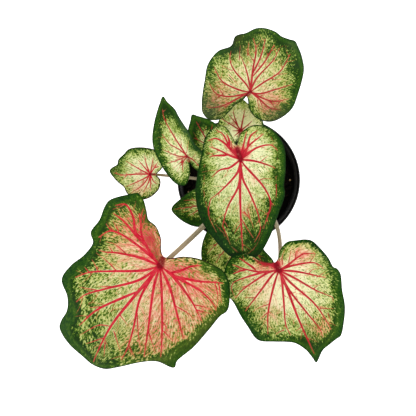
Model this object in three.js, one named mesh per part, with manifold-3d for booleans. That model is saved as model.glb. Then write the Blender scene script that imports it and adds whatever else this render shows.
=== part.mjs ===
// A caladium growing in a round nursery pot.
// Millimetres, +Z up. The origin is the middle of the pot's base, on the ground.
// Every leaf is two pieces: a petiole that rises from the tuber in the soil,
// and a thin blade that sits on the petiole's tip.

import * as THREE from 'three';
import { mergeVertices } from 'three/addons/utils/BufferGeometryUtils.js';
import Module from 'manifold-3d';

const wasm = await Module();
wasm.setup();

// ---------------------------------------------------------------- sizes

const GAP = 0.3;               // clearance between pieces that touch
const ROUND_SIDES = 48;        // facets round the pot and the soil

const POT_HEIGHT = 135;
const POT_BASE_RADIUS = 54;
const POT_SHOULDER_RADIUS = 70.5;   // outside, just under the rim band
const RIM_RADIUS = 75;
const RIM_BAND = 13;           // height of the rim band
const RIM_FLARE = 1.2;         // how much wider the band is at its top
const WALL = 1.6;
const FLOOR = 2;
const BASE_CHAMFER = 2;
const DRAIN_HOLES = 8;
const DRAIN_RADIUS = 4;
const DRAIN_CIRCLE = 38;
const DRAIN_SIDES = 16;

const SOIL_TOP = 118;
const SOIL_RELIEF = 1.2;       // height of the unevenness of the soil
const SOIL_WAVE = [9, 11];     // length of its waves along X and Y, in mm a radian
const SOIL_RINGS = [1, 0.86, 0.7, 0.52, 0.34, 0.16];   // shares of the soil's radius

const CROWN = 100;             // height of the tuber's flat crown
const CROWN_RADIUS = 25;
const TUBER_RADIUS = 30;
const TUBER_FOOT_RADIUS = 13;
const TUBER_SIDES = 24;
const TUBER_HEIGHT = 30;
const ROOT_CIRCLE = 19;        // the petioles stand on this circle, one is at its middle

const BLADE_THICKNESS = 0.8;
const CREASE = 6;              // softness of the crease of a folded blade
const SEAT_DROP = 0.5;         // from the middle of a blade's underside to its petiole's tip
const PETIOLE_SIDES = 8;
const PETIOLE_STEP = 15;       // length of one straight stretch of a petiole
const PETIOLE_TAPER = 0.28;    // share of its radius that a petiole loses on the way up
const HOLE_CLEARANCE = 0.6;    // between a petiole's corners and its hole in the soil
const HOLE_STRETCH = [-0.03, 0.35];   // share of the petiole's line that its hole follows
const HOLE_STEPS = 8;

// How finely a blade is split: the length of one stretch of its margin, and the
// shares of the way out from the petiole at which its rings of triangles lie.
const LARGE = { step: 9, rings: [0.3, 0.6, 0.83, 1] };
const SMALL = { step: 8.5, rings: [0.35, 0.7, 1] };

// A leaf's own frame has its origin where the petiole meets the blade, u towards
// the tip and v to the left. heading is the compass of u, in degrees from +X.
// pitch, droop, back, arch and roll shape the blade, fold drops its two halves,
// and waves ruffles the margin. margin runs once round the blade from the sinus.
// drop seats the petiole lower, where the crease of a folded blade is in its way.
// root is the place on the crown in degrees, and low and high are the handles
// that bend the petiole. Lengths are in millimetres.
const LEAVES = {
  front_left: {
    at: [-92, -100, 235], heading: 235, pitch: 18, droop: 0.0023, back: 0.001, arch: 0.003, roll: 0.17,
    waves: { height: 3.5, count: 9, phase: 0.4 }, ...LARGE,
    margin: [[-11, -3], [-22, -13], [-36, -36], [-40, -45], [-44, -54], [-51, -66], [-46, -75],
      [-27, -92], [-18, -93], [-1, -89], [17, -89], [25, -80], [44, -81], [66, -88], [86, -88],
      [99, -71], [115, -62], [132, -61], [140, -58], [147, -37], [153, -17], [150, 7], [144, 18],
      [118, 37], [108, 51], [98, 59], [94, 67], [90, 79], [83, 80], [67, 85], [30, 88], [-2, 93],
      [-23, 79], [-34, 55], [-32, 37], [-26, 18], [-15, 7]],
    root: 240, radius: 3.8, low: [-8, -22, 225], high: [-60, -74, 222],
  },
  front_right: {
    at: [42, -104, 255], heading: 292, pitch: 20, droop: 0.002, back: 0.002, arch: 0.004, roll: 0.16,
    waves: { height: 3, count: 7, phase: 1.2 }, ...LARGE,
    margin: [[-10, -1], [-16, -13], [-27, -22], [-35, -38], [-26, -53], [-8, -61], [12, -64],
      [16, -60], [54, -55], [72, -50], [80, -27], [85, -17], [103, -4], [122, 3], [109, 14],
      [106, 28], [98, 44], [74, 54], [50, 59], [30, 64], [22, 58], [2, 54], [-17, 44], [-26, 24],
      [-21, 9], [-12, 3]],
    root: 300, radius: 3, low: [48, -36, 205], high: [47, -70, 236],
  },
  top: {
    at: [-3, 17, 330], heading: 272, pitch: 26, droop: 0.003, back: 0.004, arch: 0.004, roll: 0,
    waves: { height: 2.5, count: 6, phase: 0 }, ...LARGE,
    margin: [[-9, -3], [-23, -8], [-34, -15], [-36, -22], [-27, -35], [-7, -41], [13, -46],
      [36, -49], [60, -45], [84, -31], [105, -13], [111, 2], [105, 18], [84, 29], [57, 41],
      [38, 47], [29, 46], [10, 48], [-13, 46], [-30, 33], [-35, 15], [-27, 1]],
    root: null, radius: 3.4, low: [4, 12, 200], high: [1, 27, 285],
  },
  back: {
    at: [9, 93, 284], heading: 85, pitch: 22, droop: 0.003, back: 0.003, arch: 0.004, roll: 0,
    waves: { height: 3, count: 7, phase: 2 }, ...LARGE,
    margin: [[-6, 2], [-14, 9], [-28, 24], [-34, 42], [-27, 51], [-13, 50], [10, 50], [29, 49],
      [46, 39], [53, 25], [65, 21], [70, 10], [78, -2], [79, -12], [75, -24], [70, -31],
      [68, -40], [66, -48], [57, -52], [47, -54], [21, -55], [-3, -51], [-22, -40], [-31, -22],
      [-26, -7], [-12, -1]],
    root: 62, radius: 3.4, low: [13, 40, 210], high: [24, 92, 218],
  },
  back_left: {
    at: [-61, 24, 250], heading: 112, pitch: 20, droop: 0.003, back: 0.003, arch: 0.004, roll: 0,
    fold: [0.1, 1.5], drop: 1.6,
    waves: { height: 2, count: 5, phase: 0.7 }, ...SMALL,
    margin: [[-7, 0], [-20, 5], [-29, 14], [-25, 22], [-7, 29], [12, 31], [35, 28], [56, 17],
      [75, 0], [62, -4], [44, -8], [26, -11], [11, -12], [-3, -18], [-14, -16], [-21, -7],
      [-14, -2]],
    root: 158, radius: 2.8, low: [-22, 8, 215], high: [-52, 18, 230],
  },
  left: {
    at: [-106, 6, 175], heading: 176, pitch: 15, droop: 0.003, back: 0.004, arch: 0.006, roll: 0,
    waves: { height: 1.5, count: 5, phase: 0 }, ...SMALL,
    margin: [[-7, 0], [-12, -6], [-15, -14], [-8, -27], [8, -30], [24, -29], [36, -18], [49, -1],
      [40, 10], [29, 20], [17, 31], [0, 28], [-11, 17], [-12, 6]],
    root: 188, radius: 2.2, low: [-28, -1, 158], high: [-78, 4, 164],
  },
  back_left_low: {
    at: [-32, 33, 196], heading: 119, pitch: 14, droop: 0.004, back: 0.004, arch: 0.006, roll: 0,
    waves: { height: 1.5, count: 5, phase: 1 }, ...SMALL,
    margin: heart(50, 24, 9),
    root: 128, radius: 2.4, low: [-15, 20, 160], high: [-27, 28, 178],
  },
  back_low: {
    at: [-1, 52, 262], heading: 85, pitch: 30, droop: 0.004, back: 0.004, arch: 0.005, roll: 0,
    waves: { height: 1.5, count: 5, phase: 2 }, ...SMALL,
    margin: heart(37, 26, 16),
    root: 95, radius: 2.6, low: [-2, 26, 190], high: [-1, 44, 238],
  },
  left_low: {
    at: [-30, -29, 165], heading: 188, pitch: 14, droop: 0.004, back: 0.004, arch: 0.006, roll: 0,
    waves: { height: 1.5, count: 5, phase: 3 }, ...SMALL,
    margin: [[-5, 0], [-7, -8], [-6, -16], [3, -21], [19, -21], [38, -12], [52, -1], [46, 10],
      [33, 21], [22, 25], [8, 24], [-3, 17], [-8, 8]],
    root: 216, radius: 2.2, low: [-19, -14, 140], high: [-25, -23, 152],
  },
  front_low: {
    at: [0, -54, 182], heading: 268, pitch: 14, droop: 0.003, back: 0.004, arch: 0.004, roll: 0,
    waves: { height: 2, count: 6, phase: 1 }, ...SMALL,
    margin: [[-7, 0], [-14, -8], [-12, -22], [-2, -32], [23, -43], [45, -43], [67, -31],
      [84, -9], [90, 2], [78, 23], [59, 43], [44, 43], [29, 30], [14, 20], [-2, 11]],
    root: 268, radius: 2.6, low: [-1, -27, 150], high: [0, -44, 166],
  },
};

// ---------------------------------------------------------------- materials

const potPlastic = new THREE.MeshStandardMaterial({ color: 0x111213, roughness: 0.4, metalness: 0 });
const pottingMix = new THREE.MeshStandardMaterial({ color: 0x1c1612, roughness: 0.95, metalness: 0 });
const corm = new THREE.MeshStandardMaterial({ color: 0x6b4a33, roughness: 0.9, metalness: 0 });
const leafTissue = new THREE.MeshStandardMaterial({ color: 0xdfe2b4, roughness: 0.45, metalness: 0 });
const leafStem = new THREE.MeshStandardMaterial({ color: 0x8c7d5f, roughness: 0.5, metalness: 0 });

// ---------------------------------------------------------------- helpers

const radians = THREE.MathUtils.degToRad;

// The margin of a plain heart-shaped blade, from the sinus round to the tip and back.
// lobe is how far its two lobes reach behind the petiole.
function heart(length, halfWidth, lobe) {
  const behind = [[-0.9, 0.2], [-1, 0.5], [-0.45, 0.88], [0, 1]];
  const ahead = [[0.35, 0.93], [0.68, 0.6], [0.9, 0.2]];
  const left = [
    ...behind.map(([u, v]) => [u * lobe, v * halfWidth]),
    ...ahead.map(([u, v]) => [u * length, v * halfWidth]),
  ];
  const right = left.map(([u, v]) => [u, -v]);
  const sinus = [-0.45 * lobe, 0];
  return [sinus, ...right, [length, 0], ...left.reverse()];
}

// Shares the vertices of a closed shape and drops the triangles that collapse on its poles.
function closedMesh(geometry) {
  const bare = geometry.clone();
  bare.deleteAttribute('normal');
  bare.deleteAttribute('uv');
  const merged = mergeVertices(bare, 1e-4);
  const kept = [];
  for (let i = 0; i < merged.index.count; i += 3) {
    const [a, b, c] = [0, 1, 2].map(k => merged.index.getX(i + k));
    if (a !== b && b !== c && c !== a) kept.push(a, b, c);
  }
  merged.setIndex(kept);
  return merged;
}

function toSolid(geometry) {
  const mesh = closedMesh(geometry);
  return new wasm.Manifold(new wasm.Mesh({
    numProp: 3,
    vertProperties: Float32Array.from(mesh.attributes.position.array),
    triVerts: Uint32Array.from(mesh.index.array),
  }));
}

function toGeometry(solid) {
  const mesh = solid.getMesh();
  const geometry = new THREE.BufferGeometry();
  geometry.setAttribute('position', new THREE.Float32BufferAttribute(mesh.vertProperties, 3));
  geometry.setIndex(Array.from(mesh.triVerts));
  return geometry;
}

// A closed round shape about the Z axis from [radius, height] points.
function turned(profile, sides = ROUND_SIDES) {
  const points = profile.map(([radius, height]) => new THREE.Vector2(radius, height));
  const geometry = new THREE.LatheGeometry(points, sides);
  geometry.rotateX(Math.PI / 2);
  return geometry;
}

function named(name, geometry, material) {
  const mesh = new THREE.Mesh(geometry, material);
  mesh.name = name;
  return mesh;
}

// ---------------------------------------------------------------- pot

const SHOULDER_HEIGHT = POT_HEIGHT - RIM_BAND;
const RIM_FOOT_RADIUS = RIM_RADIUS - RIM_FLARE;

// The outside radius of the pot's tapered wall at a height.
function potRadius(height) {
  return THREE.MathUtils.mapLinear(height, 0, SHOULDER_HEIGHT, POT_BASE_RADIUS, POT_SHOULDER_RADIUS);
}

function pot() {
  const outside = [
    [0, 0], [POT_BASE_RADIUS - BASE_CHAMFER, 0], [potRadius(BASE_CHAMFER), BASE_CHAMFER],
    [POT_SHOULDER_RADIUS, SHOULDER_HEIGHT], [RIM_FOOT_RADIUS, SHOULDER_HEIGHT + 1],
    [RIM_RADIUS, POT_HEIGHT - 1], [RIM_RADIUS - 0.5, POT_HEIGHT],
  ];
  const inside = [
    [RIM_RADIUS - WALL, POT_HEIGHT], [RIM_FOOT_RADIUS - WALL, SHOULDER_HEIGHT + 1 + WALL],
    [POT_SHOULDER_RADIUS - WALL, SHOULDER_HEIGHT + 1], [potRadius(FLOOR) - WALL, FLOOR], [0, FLOOR],
  ];
  let solid = toSolid(turned([...outside, ...inside]));
  for (let i = 0; i < DRAIN_HOLES; i++) {
    const angle = (i + 0.5) * 2 * Math.PI / DRAIN_HOLES;
    const drill = new THREE.CylinderGeometry(DRAIN_RADIUS, DRAIN_RADIUS, 4 * FLOOR, DRAIN_SIDES);
    drill.rotateX(Math.PI / 2);
    drill.translate(DRAIN_CIRCLE * Math.cos(angle), DRAIN_CIRCLE * Math.sin(angle), FLOOR / 2);
    solid = solid.subtract(toSolid(drill));
  }
  return toGeometry(solid);
}

// ---------------------------------------------------------------- tuber

// A squat corm with a flat crown. grow widens it on all sides.
function tuber(grow = 0) {
  const middle = CROWN - TUBER_HEIGHT / 2;
  const half = TUBER_HEIGHT / 2 + grow;
  const radius = TUBER_RADIUS + grow;
  const levels = [-0.92, -0.6, -0.2, 0.25, 0.65];
  const belly = levels.map(level => [radius * Math.sqrt(1 - 0.75 * level * level), middle + half * level]);
  const foot = [TUBER_FOOT_RADIUS + grow, middle - half];
  const crown = [CROWN_RADIUS + grow, middle + half];
  return turned([[0, middle - half], foot, ...belly, crown, [0, middle + half]], TUBER_SIDES);
}

// ---------------------------------------------------------------- blades

// Height of a blade over its own frame, without the ruffle of its margin.
function bladeHeight(leaf, u, v) {
  const [foldLeft, foldRight] = leaf.fold ?? [0, 0];
  const crease = Math.sqrt(v * v + CREASE * CREASE) - CREASE;
  const along = -u * Math.tan(radians(leaf.pitch)) - (u > 0 ? leaf.droop : leaf.back) * u * u;
  const across = leaf.roll * v - leaf.arch * v * v;
  return along + across - (v > 0 ? foldLeft : foldRight) * crease;
}

// How much further down than straight through a blade its lower face lies, where it slopes.
function steepness(leaf, u, v) {
  const near = 0.01;
  const du = (bladeHeight(leaf, u + near, v) - bladeHeight(leaf, u - near, v)) / (2 * near);
  const dv = (bladeHeight(leaf, u, v + near) - bladeHeight(leaf, u, v - near)) / (2 * near);
  return Math.hypot(1, du, dv);
}

// Points about a step apart on the smooth closed curve through the margin's points,
// with one of them on the blade's tip.
function marginPoints(leaf) {
  const points = leaf.margin.map(([u, v]) => new THREE.Vector3(u, v, 0));
  const curve = new THREE.CatmullRomCurve3(points, true, 'centripetal');
  const count = Math.round(curve.getLength() / leaf.step);
  const spaced = curve.getSpacedPoints(count).slice(0, count);
  const tip = points.reduce((best, point) => (point.x > best.x ? point : best));
  const nearest = spaced.reduce((best, point) => {
    return point.distanceTo(tip) < best.distanceTo(tip) ? point : best;
  });
  nearest.copy(tip);
  return spaced;
}

// A thin closed sheet of rings round the petiole, with the same triangles on both faces.
function blade(leaf) {
  const margin = marginPoints(leaf);
  const { height, count, phase } = leaf.waves;
  const upper = [];
  const lower = [];
  const place = (u, v, ruffle) => {
    const z = bladeHeight(leaf, u, v) + ruffle;
    upper.push(u, v, z);
    lower.push(u, v, z - BLADE_THICKNESS * steepness(leaf, u, v));
  };
  place(0, 0, 0);
  for (const share of leaf.rings) {
    margin.forEach((point, i) => {
      const ruffle = height * share ** 3 * Math.sin(2 * Math.PI * count * i / margin.length + phase);
      place(point.x * share, point.y * share, ruffle);
    });
  }

  const n = margin.length;
  const faces = [];
  for (let i = 0; i < n; i++) {
    const next = (i + 1) % n;
    faces.push([0, 1 + i, 1 + next]);
    for (let ring = 1; ring < leaf.rings.length; ring++) {
      const inner = 1 + (ring - 1) * n;
      const outer = 1 + ring * n;
      faces.push([inner + i, outer + i, outer + next], [inner + i, outer + next, inner + next]);
    }
  }
  const edge = 1 + (leaf.rings.length - 1) * n;
  const below = upper.length / 3;
  const index = [];
  const turn = outwardTurn(margin);
  const add = (a, b, c) => index.push(...(turn > 0 ? [a, b, c] : [a, c, b]));
  for (const [a, b, c] of faces) {
    add(a, b, c);
    add(below + a, below + c, below + b);
  }
  for (let i = 0; i < n; i++) {
    const a = edge + i;
    const b = edge + (i + 1) % n;
    add(a, below + a, below + b);
    add(a, below + b, b);
  }
  const geometry = new THREE.BufferGeometry();
  geometry.setAttribute('position', new THREE.Float32BufferAttribute([...upper, ...lower], 3));
  geometry.setIndex(index);
  return geometry;
}

// Twice the area inside a closed run of points: positive when it runs anticlockwise.
function outwardTurn(points) {
  return points.reduce((sum, point, i) => {
    const next = points[(i + 1) % points.length];
    return sum + point.x * next.y - point.y * next.x;
  }, 0);
}

function bladeMesh(name, leaf) {
  const mesh = named(`blade_${name}`, blade(leaf), leafTissue);
  mesh.position.set(...leaf.at);
  mesh.rotation.z = radians(leaf.heading);
  return mesh;
}

// ---------------------------------------------------------------- petioles

// The direction that a blade faces where its petiole meets it.
function bladeNormal(leaf) {
  const normal = new THREE.Vector3(Math.tan(radians(leaf.pitch)), -leaf.roll, 1).normalize();
  return normal.applyAxisAngle(new THREE.Vector3(0, 0, 1), radians(leaf.heading));
}

function rootPoint(leaf) {
  if (leaf.root === null) return new THREE.Vector3(0, 0, CROWN + GAP);
  const angle = radians(leaf.root);
  return new THREE.Vector3(ROOT_CIRCLE * Math.cos(angle), ROOT_CIRCLE * Math.sin(angle), CROWN + GAP);
}

// The middle line of a petiole, from the tuber's crown to just under the blade.
function petioleLine(leaf) {
  const seat = new THREE.Vector3(...leaf.at);
  seat.addScaledVector(bladeNormal(leaf), -BLADE_THICKNESS - (leaf.drop ?? SEAT_DROP));
  return new THREE.CubicBezierCurve3(
    rootPoint(leaf), new THREE.Vector3(...leaf.low), new THREE.Vector3(...leaf.high), seat,
  );
}

// The stretch of a petiole's middle line that a hole in the soil follows.
class HoleLine extends THREE.Curve {
  constructor(line) {
    super();
    this.line = line;
  }
  getPoint(t, target = new THREE.Vector3()) {
    const [start, end] = HOLE_STRETCH;
    return this.line.getPoint(THREE.MathUtils.lerp(start, end, t), target);
  }
}

// A round rod along a line. shrink is the share of its radius that it loses on the way.
function rod(line, radius, steps, shrink) {
  const corners = [];
  for (let i = 0; i < PETIOLE_SIDES; i++) {
    const angle = 2 * Math.PI * i / PETIOLE_SIDES;
    corners.push(new THREE.Vector2(radius * Math.cos(angle), radius * Math.sin(angle)));
  }
  const geometry = closedMesh(new THREE.ExtrudeGeometry(new THREE.Shape(corners), {
    steps, extrudePath: line, bevelEnabled: false,
  }));
  const centres = line.getSpacedPoints(steps);
  const position = geometry.attributes.position;
  const vertex = new THREE.Vector3();
  for (let i = 0; i < position.count; i++) {
    vertex.fromBufferAttribute(position, i);
    const away = centres.map(centre => centre.distanceTo(vertex));
    const ring = away.indexOf(Math.min(...away));
    vertex.sub(centres[ring]).multiplyScalar(1 - shrink * ring / steps).add(centres[ring]);
    position.setXYZ(i, vertex.x, vertex.y, vertex.z);
  }
  return geometry;
}

// Slides the vertices of one end of a rod along it onto a plane.
function trimEnd(geometry, end, direction, plane, reach) {
  const position = geometry.attributes.position;
  const vertex = new THREE.Vector3();
  for (let i = 0; i < position.count; i++) {
    vertex.fromBufferAttribute(position, i);
    if (vertex.distanceTo(end) > reach) continue;
    vertex.addScaledVector(direction, -plane.distanceToPoint(vertex) / plane.normal.dot(direction));
    position.setXYZ(i, vertex.x, vertex.y, vertex.z);
  }
}

function petiole(leaf) {
  const line = petioleLine(leaf);
  const steps = Math.ceil(line.getLength() / PETIOLE_STEP);
  const geometry = rod(line, leaf.radius, steps, PETIOLE_TAPER);
  const up = new THREE.Vector3(0, 0, 1);
  const ends = [[0, up], [1, bladeNormal(leaf)]];
  for (const [t, normal] of ends) {
    const end = line.getPointAt(t);
    const plane = new THREE.Plane().setFromNormalAndCoplanarPoint(normal, end);
    trimEnd(geometry, end, line.getTangentAt(t), plane, leaf.radius * 1.01);
  }
  return geometry;
}

// ---------------------------------------------------------------- soil

function soil() {
  const clear = WALL + GAP;
  const bottom = FLOOR + GAP;
  const top = SOIL_RINGS.map(share => [(potRadius(SOIL_TOP) - clear) * share, SOIL_TOP]);
  const [waveX, waveY] = SOIL_WAVE;
  const geometry = turned([[0, bottom], [potRadius(bottom) - clear, bottom], ...top, [0, SOIL_TOP]]);
  const position = geometry.attributes.position;
  for (let i = 0; i < position.count; i++) {
    const relief = SOIL_RELIEF * Math.sin(position.getX(i) / waveX) * Math.cos(position.getY(i) / waveY);
    if (position.getZ(i) > SOIL_TOP - 1) position.setZ(i, SOIL_TOP + relief);
  }
  let solid = toSolid(geometry).subtract(toSolid(tuber(GAP)));
  for (const leaf of Object.values(LEAVES)) {
    const hole = rod(new HoleLine(petioleLine(leaf)), leaf.radius + HOLE_CLEARANCE, HOLE_STEPS, 0);
    solid = solid.subtract(toSolid(hole));
  }
  return toGeometry(solid);
}

// ---------------------------------------------------------------- caladium

const caladium = new THREE.Group();
caladium.add(named('pot', pot(), potPlastic));
caladium.add(named('soil', soil(), pottingMix));
caladium.add(named('tuber', closedMesh(tuber()), corm));
for (const [name, leaf] of Object.entries(LEAVES)) {
  caladium.add(named(`petiole_${name}`, petiole(leaf), leafStem));
  caladium.add(bladeMesh(name, leaf));
}

export default caladium;
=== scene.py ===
"""A caladium in its nursery pot, finished around the frame of its solids.

Blender works in metres. What belongs to a leaf is written in millimetres, in the
leaf's own frame: the origin is where the petiole meets the blade, u runs towards
the tip and v to the left.
"""

import math
import random

import bmesh
import bpy
import numpy as np
from bpy.props import FloatProperty, FloatVectorProperty, IntProperty, PointerProperty
from mathutils import Matrix, Vector, noise
from mathutils.geometry import delaunay_2d_cdt
from mathutils.kdtree import KDTree


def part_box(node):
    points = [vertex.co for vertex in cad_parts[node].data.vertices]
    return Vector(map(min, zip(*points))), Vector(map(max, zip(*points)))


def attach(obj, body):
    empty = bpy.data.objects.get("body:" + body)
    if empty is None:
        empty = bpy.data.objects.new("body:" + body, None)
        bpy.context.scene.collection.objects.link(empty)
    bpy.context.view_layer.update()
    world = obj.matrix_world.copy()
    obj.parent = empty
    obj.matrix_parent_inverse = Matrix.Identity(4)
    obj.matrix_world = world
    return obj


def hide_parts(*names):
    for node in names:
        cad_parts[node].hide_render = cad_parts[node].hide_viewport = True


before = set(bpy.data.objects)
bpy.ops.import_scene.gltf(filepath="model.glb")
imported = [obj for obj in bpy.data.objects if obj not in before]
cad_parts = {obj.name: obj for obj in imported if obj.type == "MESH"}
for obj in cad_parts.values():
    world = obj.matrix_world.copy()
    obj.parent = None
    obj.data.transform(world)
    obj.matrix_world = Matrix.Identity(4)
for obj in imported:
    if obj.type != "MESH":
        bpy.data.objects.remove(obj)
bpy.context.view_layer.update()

bl_info = {
    "name": "Potted caladium",
    "version": (1, 0, 0),
    "blender": (4, 5, 0),
    "location": "3D View > Sidebar > Caladium",
    "description": "Finishes a caladium with red-veined leaves in a round nursery pot",
    "category": "Object",
}

MM = 0.001
POT_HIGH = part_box("pot")[1]
SOIL_LOW, SOIL_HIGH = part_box("soil")
TUBER_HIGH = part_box("tuber")[1]


def srgb(red, green, blue):
    """A colour as the eye reads it, 0 to 255, in the linear values that shaders take."""
    parts = [part / 255 for part in (red, green, blue)]
    return tuple(((c + .055) / 1.055) ** 2.4 if c > .04045 else c / 12.92 for c in parts)


# ------------------------------------------------------------------ leaves

# at is where the blade sits on its petiole, and heading the compass of u in degrees
# from +X. pitch, droop, back, arch, roll and fold shape the blade, and waves (height,
# count, phase) ruffles its margin, which runs once round from the sinus. heart (length,
# half width, lobe) is a plain margin. root is where round the tuber the petiole starts,
# low and high are the two handles of its curve, and radius is its thickness.
# rims (u, v, width, depth) is the green band inside the margin: its width and how dark
# it is at some places round it. midribs, mains and sides are veins from thick to thin,
# stout scales them, tone runs from brick 0 to crimson 1, hub is the size of the dark
# spot over the petiole, and ring is the strength of the salmon vein along the band.
# green, fringe and blush are how green the tissue is, how much greener it gets towards
# the margin, and how pink it is. fine makes the speckles smaller. more_green and more_blush
# lay more or less green and pink on round patches (u, v, radius, amount), and more_shade
# lays painted shade on such patches.
PLAIN = dict(roll=0, fold=(0, 0), blush=0, stout=1.0, ring=0, sides=(),
             more_green=(), more_blush=(), more_shade=())
LEAVES = {}
LEAVES["front_left"] = dict(
    at=(-92, -100, 235), heading=235, pitch=18, droop=.0023, back=.001, arch=.003, roll=.17,
    waves=(3.5, 9, .4), root=240, radius=3.8, low=(-8, -22, 225), high=(-60, -74, 222),
    margin=[
        (-11, -3), (-15, -9), (-26, -17), (-34, -30), (-35, -41), (-42, -49), (-50, -59), (-53, -68),
        (-46, -76), (-27, -92), (-18, -93), (-1, -89), (17, -89), (25, -80), (44, -81), (66, -88),
        (86, -88), (99, -71), (115, -62), (132, -61), (140, -58), (149, -37), (152, -16), (153, 1),
        (147, 16), (131, 30), (112, 46), (98, 62), (92, 82), (83, 80), (58, 86), (28, 88), (8, 89), (0, 92),
        (-6, 91), (-15, 86), (-27, 77), (-36, 63), (-36, 50), (-33, 34), (-24, 16), (-14, 5),
    ],
    rims=[
        (-23, -15, .5, .3), (-38, -40, 2, .3), (-45, -72, 8, .5), (-36, -86, 9.5, .5), (-17, -92, 7, .45),
        (15, -88, 8, .45), (27, -81, 4.5, .4), (50, -83, 8.5, .5), (79, -90, 13, .5), (102, -67, 5, .4),
        (137, -61, 14.5, .45), (151, -16, 7, .4), (150, 3, 3.5, .4), (144, 16, 5, .4), (125, 33, 2, .3),
        (104, 55, 2, .3), (91, 79, 12, .35), (24, 86, 7.5, .35), (-6, 90, 5.5, .5), (-24, 76, 5.5, .7),
        (-30, 34, 3, .4), (-13, 5, .5, .4),
    ],
    green=.34, fringe=.14, blush=.1, fine=1, hub=6.5, stout=1.05, tone=1.0,
    midribs=[[(0, 0), (22, -2), (56, -5), (95, -7), (139, -2), (149, 0)]],
    mains=[
        [(0, 0), (-9, -25), (-17, -38), (-34, -50), (-42, -53)],
        [(-9, -25), (-12, -42), (-17, -64), (-17, -80)],
        [(-14, -35), (-15, -45), (-27, -57), (-34, -73), (-26, -83)],
        [(0, 0), (-3, -18), (-3, -57), (2, -71), (16, -78)],
        [(0, 0), (6, -24), (18, -50), (26, -63), (28, -69)],
        [(0, 0), (15, -12), (41, -45), (57, -64), (73, -75)],
        [(0, 0), (27, -10), (61, -37), (84, -54), (98, -58)], [(38, -3), (53, -12), (90, -32), (120, -39)],
        [(0, 0), (22, 0), (47, 3), (80, 16), (106, 24), (123, 26)], [(0, 0), (22, 7), (71, 31), (103, 46)],
        [(0, 0), (30, 23), (78, 55), (91, 62)], [(0, 0), (14, 23), (38, 51), (56, 71)],
        [(0, 0), (1, 17), (12, 51), (25, 75)], [(0, 0), (0, 20), (-3, 55), (2, 77), (6, 82)],
        [(0, 20), (-10, 44), (-22, 64), (-25, 70)], [(0, 14), (-9, 22), (-20, 29), (-28, 38)],
    ],
    sides=[
        [(35, -39), (33, -56), (33, -70)], [(12, -39), (11, -57), (15, -68)], [(20, -54), (17, -63)],
        [(-4, -62), (-9, -74)], [(1, -69), (-2, -80)], [(57, -64), (56, -73)],
        [(49, -56), (45, -65), (43, -70)], [(53, -31), (65, -47)], [(68, -43), (80, -65)],
        [(96, -8), (103, -19), (130, -32)], [(113, -6), (135, -20)], [(62, 10), (75, 19), (102, 41)],
        [(101, 23), (110, 37)], [(52, 39), (58, 51)], [(61, 45), (65, 64)], [(28, 42), (27, 59), (30, 73)],
        [(15, 56), (9, 71), (9, 80)], [(18, 62), (12, 79)], [(-20, 62), (-9, 74), (4, 81)],
        [(-22, 66), (-5, 82)], [(72, 32), (90, 54)], [(98, -1), (115, 20)], [(117, -2), (134, 7)],
        [(-18, -51), (-17, -40)], [(-35, -54), (-23, -44)], [(-38, -48), (-24, -41)],
        [(80, -27), (93, -41)], [(76, -7), (81, 8)],
    ],
    more_green=[
        (8, -13, 16, -.14), (108, 36, 18, .14), (84, 58, 16, -.2), (120, -34, 50, .1), (-5, -74, 30, .2),
        (8, 62, 34, -.1), (45, 20, 42, -.1), (4, -36, 24, -.14), (96, 60, 24, .2),
    ],
    more_blush=[
        (-18, -26, 24, .85), (-32, -50, 22, .55), (-5, 30, 36, .34), (-9, 12, 15, .34), (-18, 26, 14, .28),
        (-7, -11, 13, .4), (0, 0, 38, .24), (-16, 56, 28, .35), (60, 45, 44, .36), (30, 20, 50, .12),
        (-14, -68, 24, .3), (-30, -42, 16, .2), (90, 62, 28, .2), (50, 76, 30, .22), (2, 80, 22, .25),
        (10, -50, 36, .25), (104, 36, 36, .3), (24, 76, 28, .3),
    ],
)
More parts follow.
